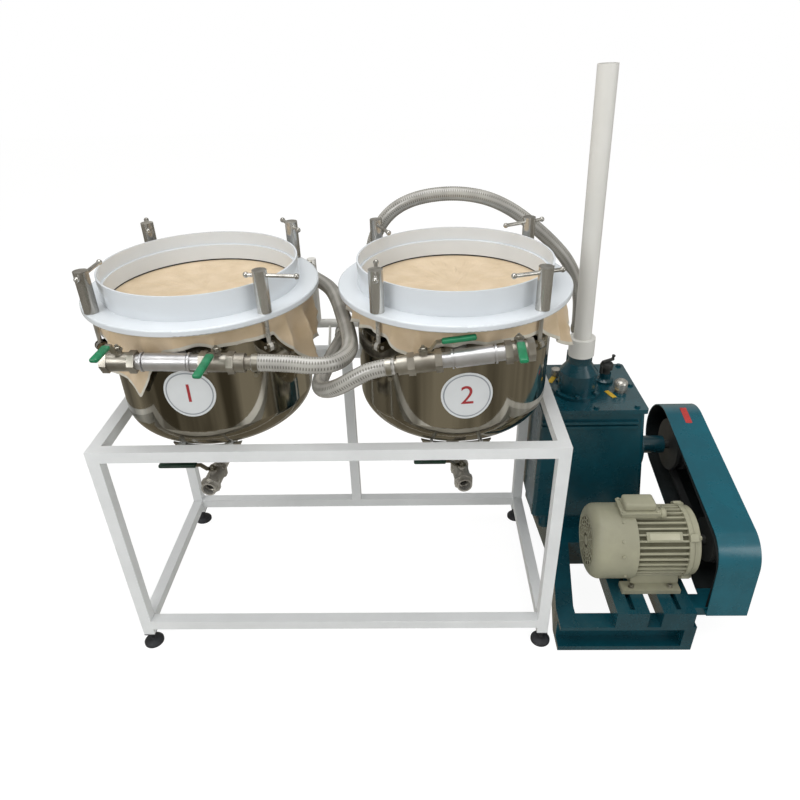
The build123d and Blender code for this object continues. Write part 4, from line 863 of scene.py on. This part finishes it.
finishPiece(toMesh(work, "tags"), "yellow_tags", ("yellow",))
work = bmesh.new()
fillerSpots = [v.co for v in nodes["oil_filler"].data.vertices]
fillerMiddle = [(max(v[k] for v in fillerSpots) + min(v[k] for v in fillerSpots)) / 2 for k in range(2)]
fillerAt = Vector((*fillerMiddle, min(v.z for v in fillerSpots)))
fillerTurn = pumpLook["fillerTurn"]
fillerFrame = frameAt(fillerAt, (0, 0, 1), (math.cos(fillerTurn), math.sin(fillerTurn), 0))
lathe(work, fillerFrame, ((0, 0), (26, 0), (26, 7), (20, 10), (17, 14), (17, 30), (0, 30)), 36)
lathe(work, fillerFrame, ((0, 30), (13, 30), (13, 46), (19, 49), (20, 58), (17, 64), (8, 67), (0, 67)), 36, 1)
block(work, fillerFrame @ Matrix.Translation(Vector((3, 0, 71)) * mm), (46, 9, 9), 3.0, 1)
for reach in (-20, 20):
    block(work, fillerFrame @ Matrix.Translation(Vector((reach, 0, 46)) * mm), (7, 10, 26), 2.5, 1)
lathe(work, frameAt(fillerFrame @ Vector((0.020, 0, 0.071)), fillerFrame.to_3x3() @ Vector((0.3, 0, 0.95))),
      ((0, 0), (4, 0), (4, 8), (6, 12), (4, 15), (0, 16)), 16, 1)
finishPiece(toMesh(work, "filler"), "filler_detailed", ("cast", "darkIron"), replaced=("oil_filler",))
print("pump fittings ready")

# Belt guard: a thin sheet of painted shade that follows the band from inside, and the red tab on top
guardLook = {"inner": 1572.0, "outer": 1683.0, "half": 112.0, "far": (546.0, 325.0), "slope": 12.5, "front": 24.0,
             "bottom": 99.0, "wall": 3.0, "gap": 0.5, "corner": 88.0, "shadeSheet": 0.3,
             "tabX": 1631.0, "tabY": 514.0, "topLine": (521.8, 434.3), "tab": (20, 68, 0.8)}
slope, corner = math.radians(guardLook["slope"]), guardLook["corner"]
sheetHalf = guardLook["half"] - guardLook["wall"] - guardLook["gap"]
nearY = guardLook["front"] + guardLook["wall"] + guardLook["gap"]
farY, farZ = guardLook["far"]
upY, upZ = -math.sin(slope), math.cos(slope)
outline = []
for k in range(25):
    turned = math.pi / 2 - math.pi * k / 24
    outline.append((farY + sheetHalf * (math.cos(turned) * math.cos(slope) + math.sin(turned) * upY),
                    farZ + sheetHalf * (math.cos(turned) * math.sin(slope) + math.sin(turned) * upZ)))
(firstY, firstZ), (lastY, lastZ) = outline[0], outline[-1]
topZ = firstZ - (firstY - nearY) * math.tan(slope)
lowRun = (lastZ - guardLook["bottom"] - 6) / math.tan(slope)
outline += [(lastY - lowRun, guardLook["bottom"] + 6), (nearY, guardLook["bottom"] + 4)]
for k in range(8, -1, -1):
    turned = math.pi / 2 + slope + (math.pi / 2 - slope) * k / 8
    outline.append((nearY + corner + corner * math.cos(turned), topZ - corner * 0.99 + corner * math.sin(turned)))
work = bmesh.new()
back = [work.verts.new(place(guardLook["outer"] - guardLook["wall"] - 0.6, y, z)) for y, z in outline]
front = [work.verts.new(place(guardLook["inner"] + guardLook["gap"], y, z)) for y, z in outline]
work.faces.new(back)
for k in range(len(outline)):
    n = (k + 1) % len(outline)
    work.faces.new((back[k], back[n], front[n], front[k]))
shadeSheet = finishPiece(toMesh(work, "guardShadeSheet"), "guard_lining", ("guardInside",))
thick = shadeSheet.modifiers.new("thickness", "SOLIDIFY")
thick.thickness = guardLook["shadeSheet"] * mm
thick.offset = 0.0
work = bmesh.new()
tabZ = guardLook["topLine"][1] - (guardLook["topLine"][0] - guardLook["tabY"]) * math.tan(slope) + guardLook["gap"]
block(work, frameAt(place(guardLook["tabX"], guardLook["tabY"], tabZ), (0, upY, upZ), (1, 0, 0)), guardLook["tab"], 0.3)
finishPiece(toMesh(work, "redTab"), "red_tab", ("red",))
print("guard ready")

# Floor, backdrop and light: white to the camera, and a darker warm room in what the steel reflects
studio = {"floor": "#f2f2f0", "seenFloor": "#6c6c6a", "floorGlow": 0.93, "floorReach": 9.0, "shopFloor": "#7d7769",
          "shopGlow": 3.1, "roomDark": "#5e594f", "roomPale": "#d8d4c9", "roomGlow": 2.2,
          "keyPower": 40.0, "fillPower": 20.0, "topPower": 52.0, "world": 0.44, "room": 0.38}
white = (1, 1, 1, 1)


def glowOf(tree, kind, colour, strength):
    return addNode(tree, kind, values={"Color": colour, "Strength": strength}).outputs[0]


def mixOf(tree, factor, first, second):
    return addNode(tree, "ShaderNodeMixShader", values={"Fac": factor, 1: first, 2: second}).outputs["Shader"]


floorMaterial = bpy.data.materials.new("paleFloor")
floorMaterial.use_nodes = True
floorTree = floorMaterial.node_tree
floorShader = floorTree.nodes["Principled BSDF"]
floorShader.inputs["Base Color"].default_value = linear(studio["floor"])
floorShader.inputs["Roughness"].default_value = 0.7
path = addNode(floorTree, "ShaderNodeLightPath")
seenFloor = addNode(floorTree, "ShaderNodeBsdfDiffuse", values={"Color": linear(studio["seenFloor"])})
glow = glowOf(floorTree, "ShaderNodeEmission", white, studio["floorGlow"])
lit = addNode(floorTree, "ShaderNodeAddShader", values={0: seenFloor.outputs["BSDF"], 1: glow})
shopFloor = glowOf(floorTree, "ShaderNodeEmission", linear(studio["shopFloor"]), studio["room"] * studio["shopGlow"])
mirrored = mixOf(floorTree, path.outputs["Is Glossy Ray"], floorShader.outputs["BSDF"], shopFloor)
floorMix = mixOf(floorTree, path.outputs["Is Camera Ray"], mirrored, lit.outputs["Shader"])
floorTree.links.new(floorMix, floorTree.nodes["Material Output"].inputs["Surface"])
reach = studio["floorReach"]
floorCorners = [(-reach, -reach, 0), (reach, -reach, 0), (reach, reach, 0), (-reach, reach, 0)]
floorMesh = bpy.data.meshes.new("floor")
floorMesh.from_pydata(floorCorners, [], [(0, 1, 2, 3)])
floorMesh.materials.append(floorMaterial)
newObject("floor", floorMesh)

world = bpy.data.worlds.new("paleRoom")
bpy.context.scene.world = world
world.use_nodes = True
worldTree = world.node_tree
worldPath = addNode(worldTree, "ShaderNodeLightPath")
roomLight = glowOf(worldTree, "ShaderNodeBackground", white, studio["world"])
roomWay = addNode(worldTree, "ShaderNodeTexCoord").outputs["Generated"]
roomShade = noiseOf(worldTree, stretched(worldTree, roomWay, (2.6, 2.6, 0.5)), 1.6, 2.0)
roomColour = rampOf(worldTree, roomShade, 0.42, 0.6, linear(studio["roomDark"]), linear(studio["roomPale"]))
room = glowOf(worldTree, "ShaderNodeBackground", roomColour, studio["room"] * studio["roomGlow"])
whiteRoom = glowOf(worldTree, "ShaderNodeBackground", white, 1.0)
reflected = mixOf(worldTree, worldPath.outputs["Is Glossy Ray"], roomLight, room)
worldMix = mixOf(worldTree, worldPath.outputs["Is Camera Ray"], reflected, whiteRoom)
worldTree.links.new(worldMix, worldTree.nodes["World Output"].inputs["Surface"])

lamps = {
    "topLamp": ((-0.2, -0.2, 3.4), (0.0, 0.1, 0.5), 2.4, "topPower"),
    "keyLamp": ((-2.2, -2.6, 2.6), (0.0, 0.0, 0.6), 1.6, "keyPower"),
    "fillLamp": ((2.6, -2.0, 1.8), (0.1, 0.0, 0.6), 1.6, "fillPower"),
}
for name, (at, towards, size, power) in lamps.items():
    lamp = newObject(name, bpy.data.lights.new(name, "AREA"))
    lamp.data.size = size
    lamp.data.energy = studio[power]
    aim = (Vector(towards) - Vector(at)).to_track_quat("-Z", "Y")
    lamp.matrix_world = Matrix.Translation(at) @ aim.to_matrix().to_4x4()
bpy.context.scene.view_settings.view_transform = "Standard"
print("studio ready")
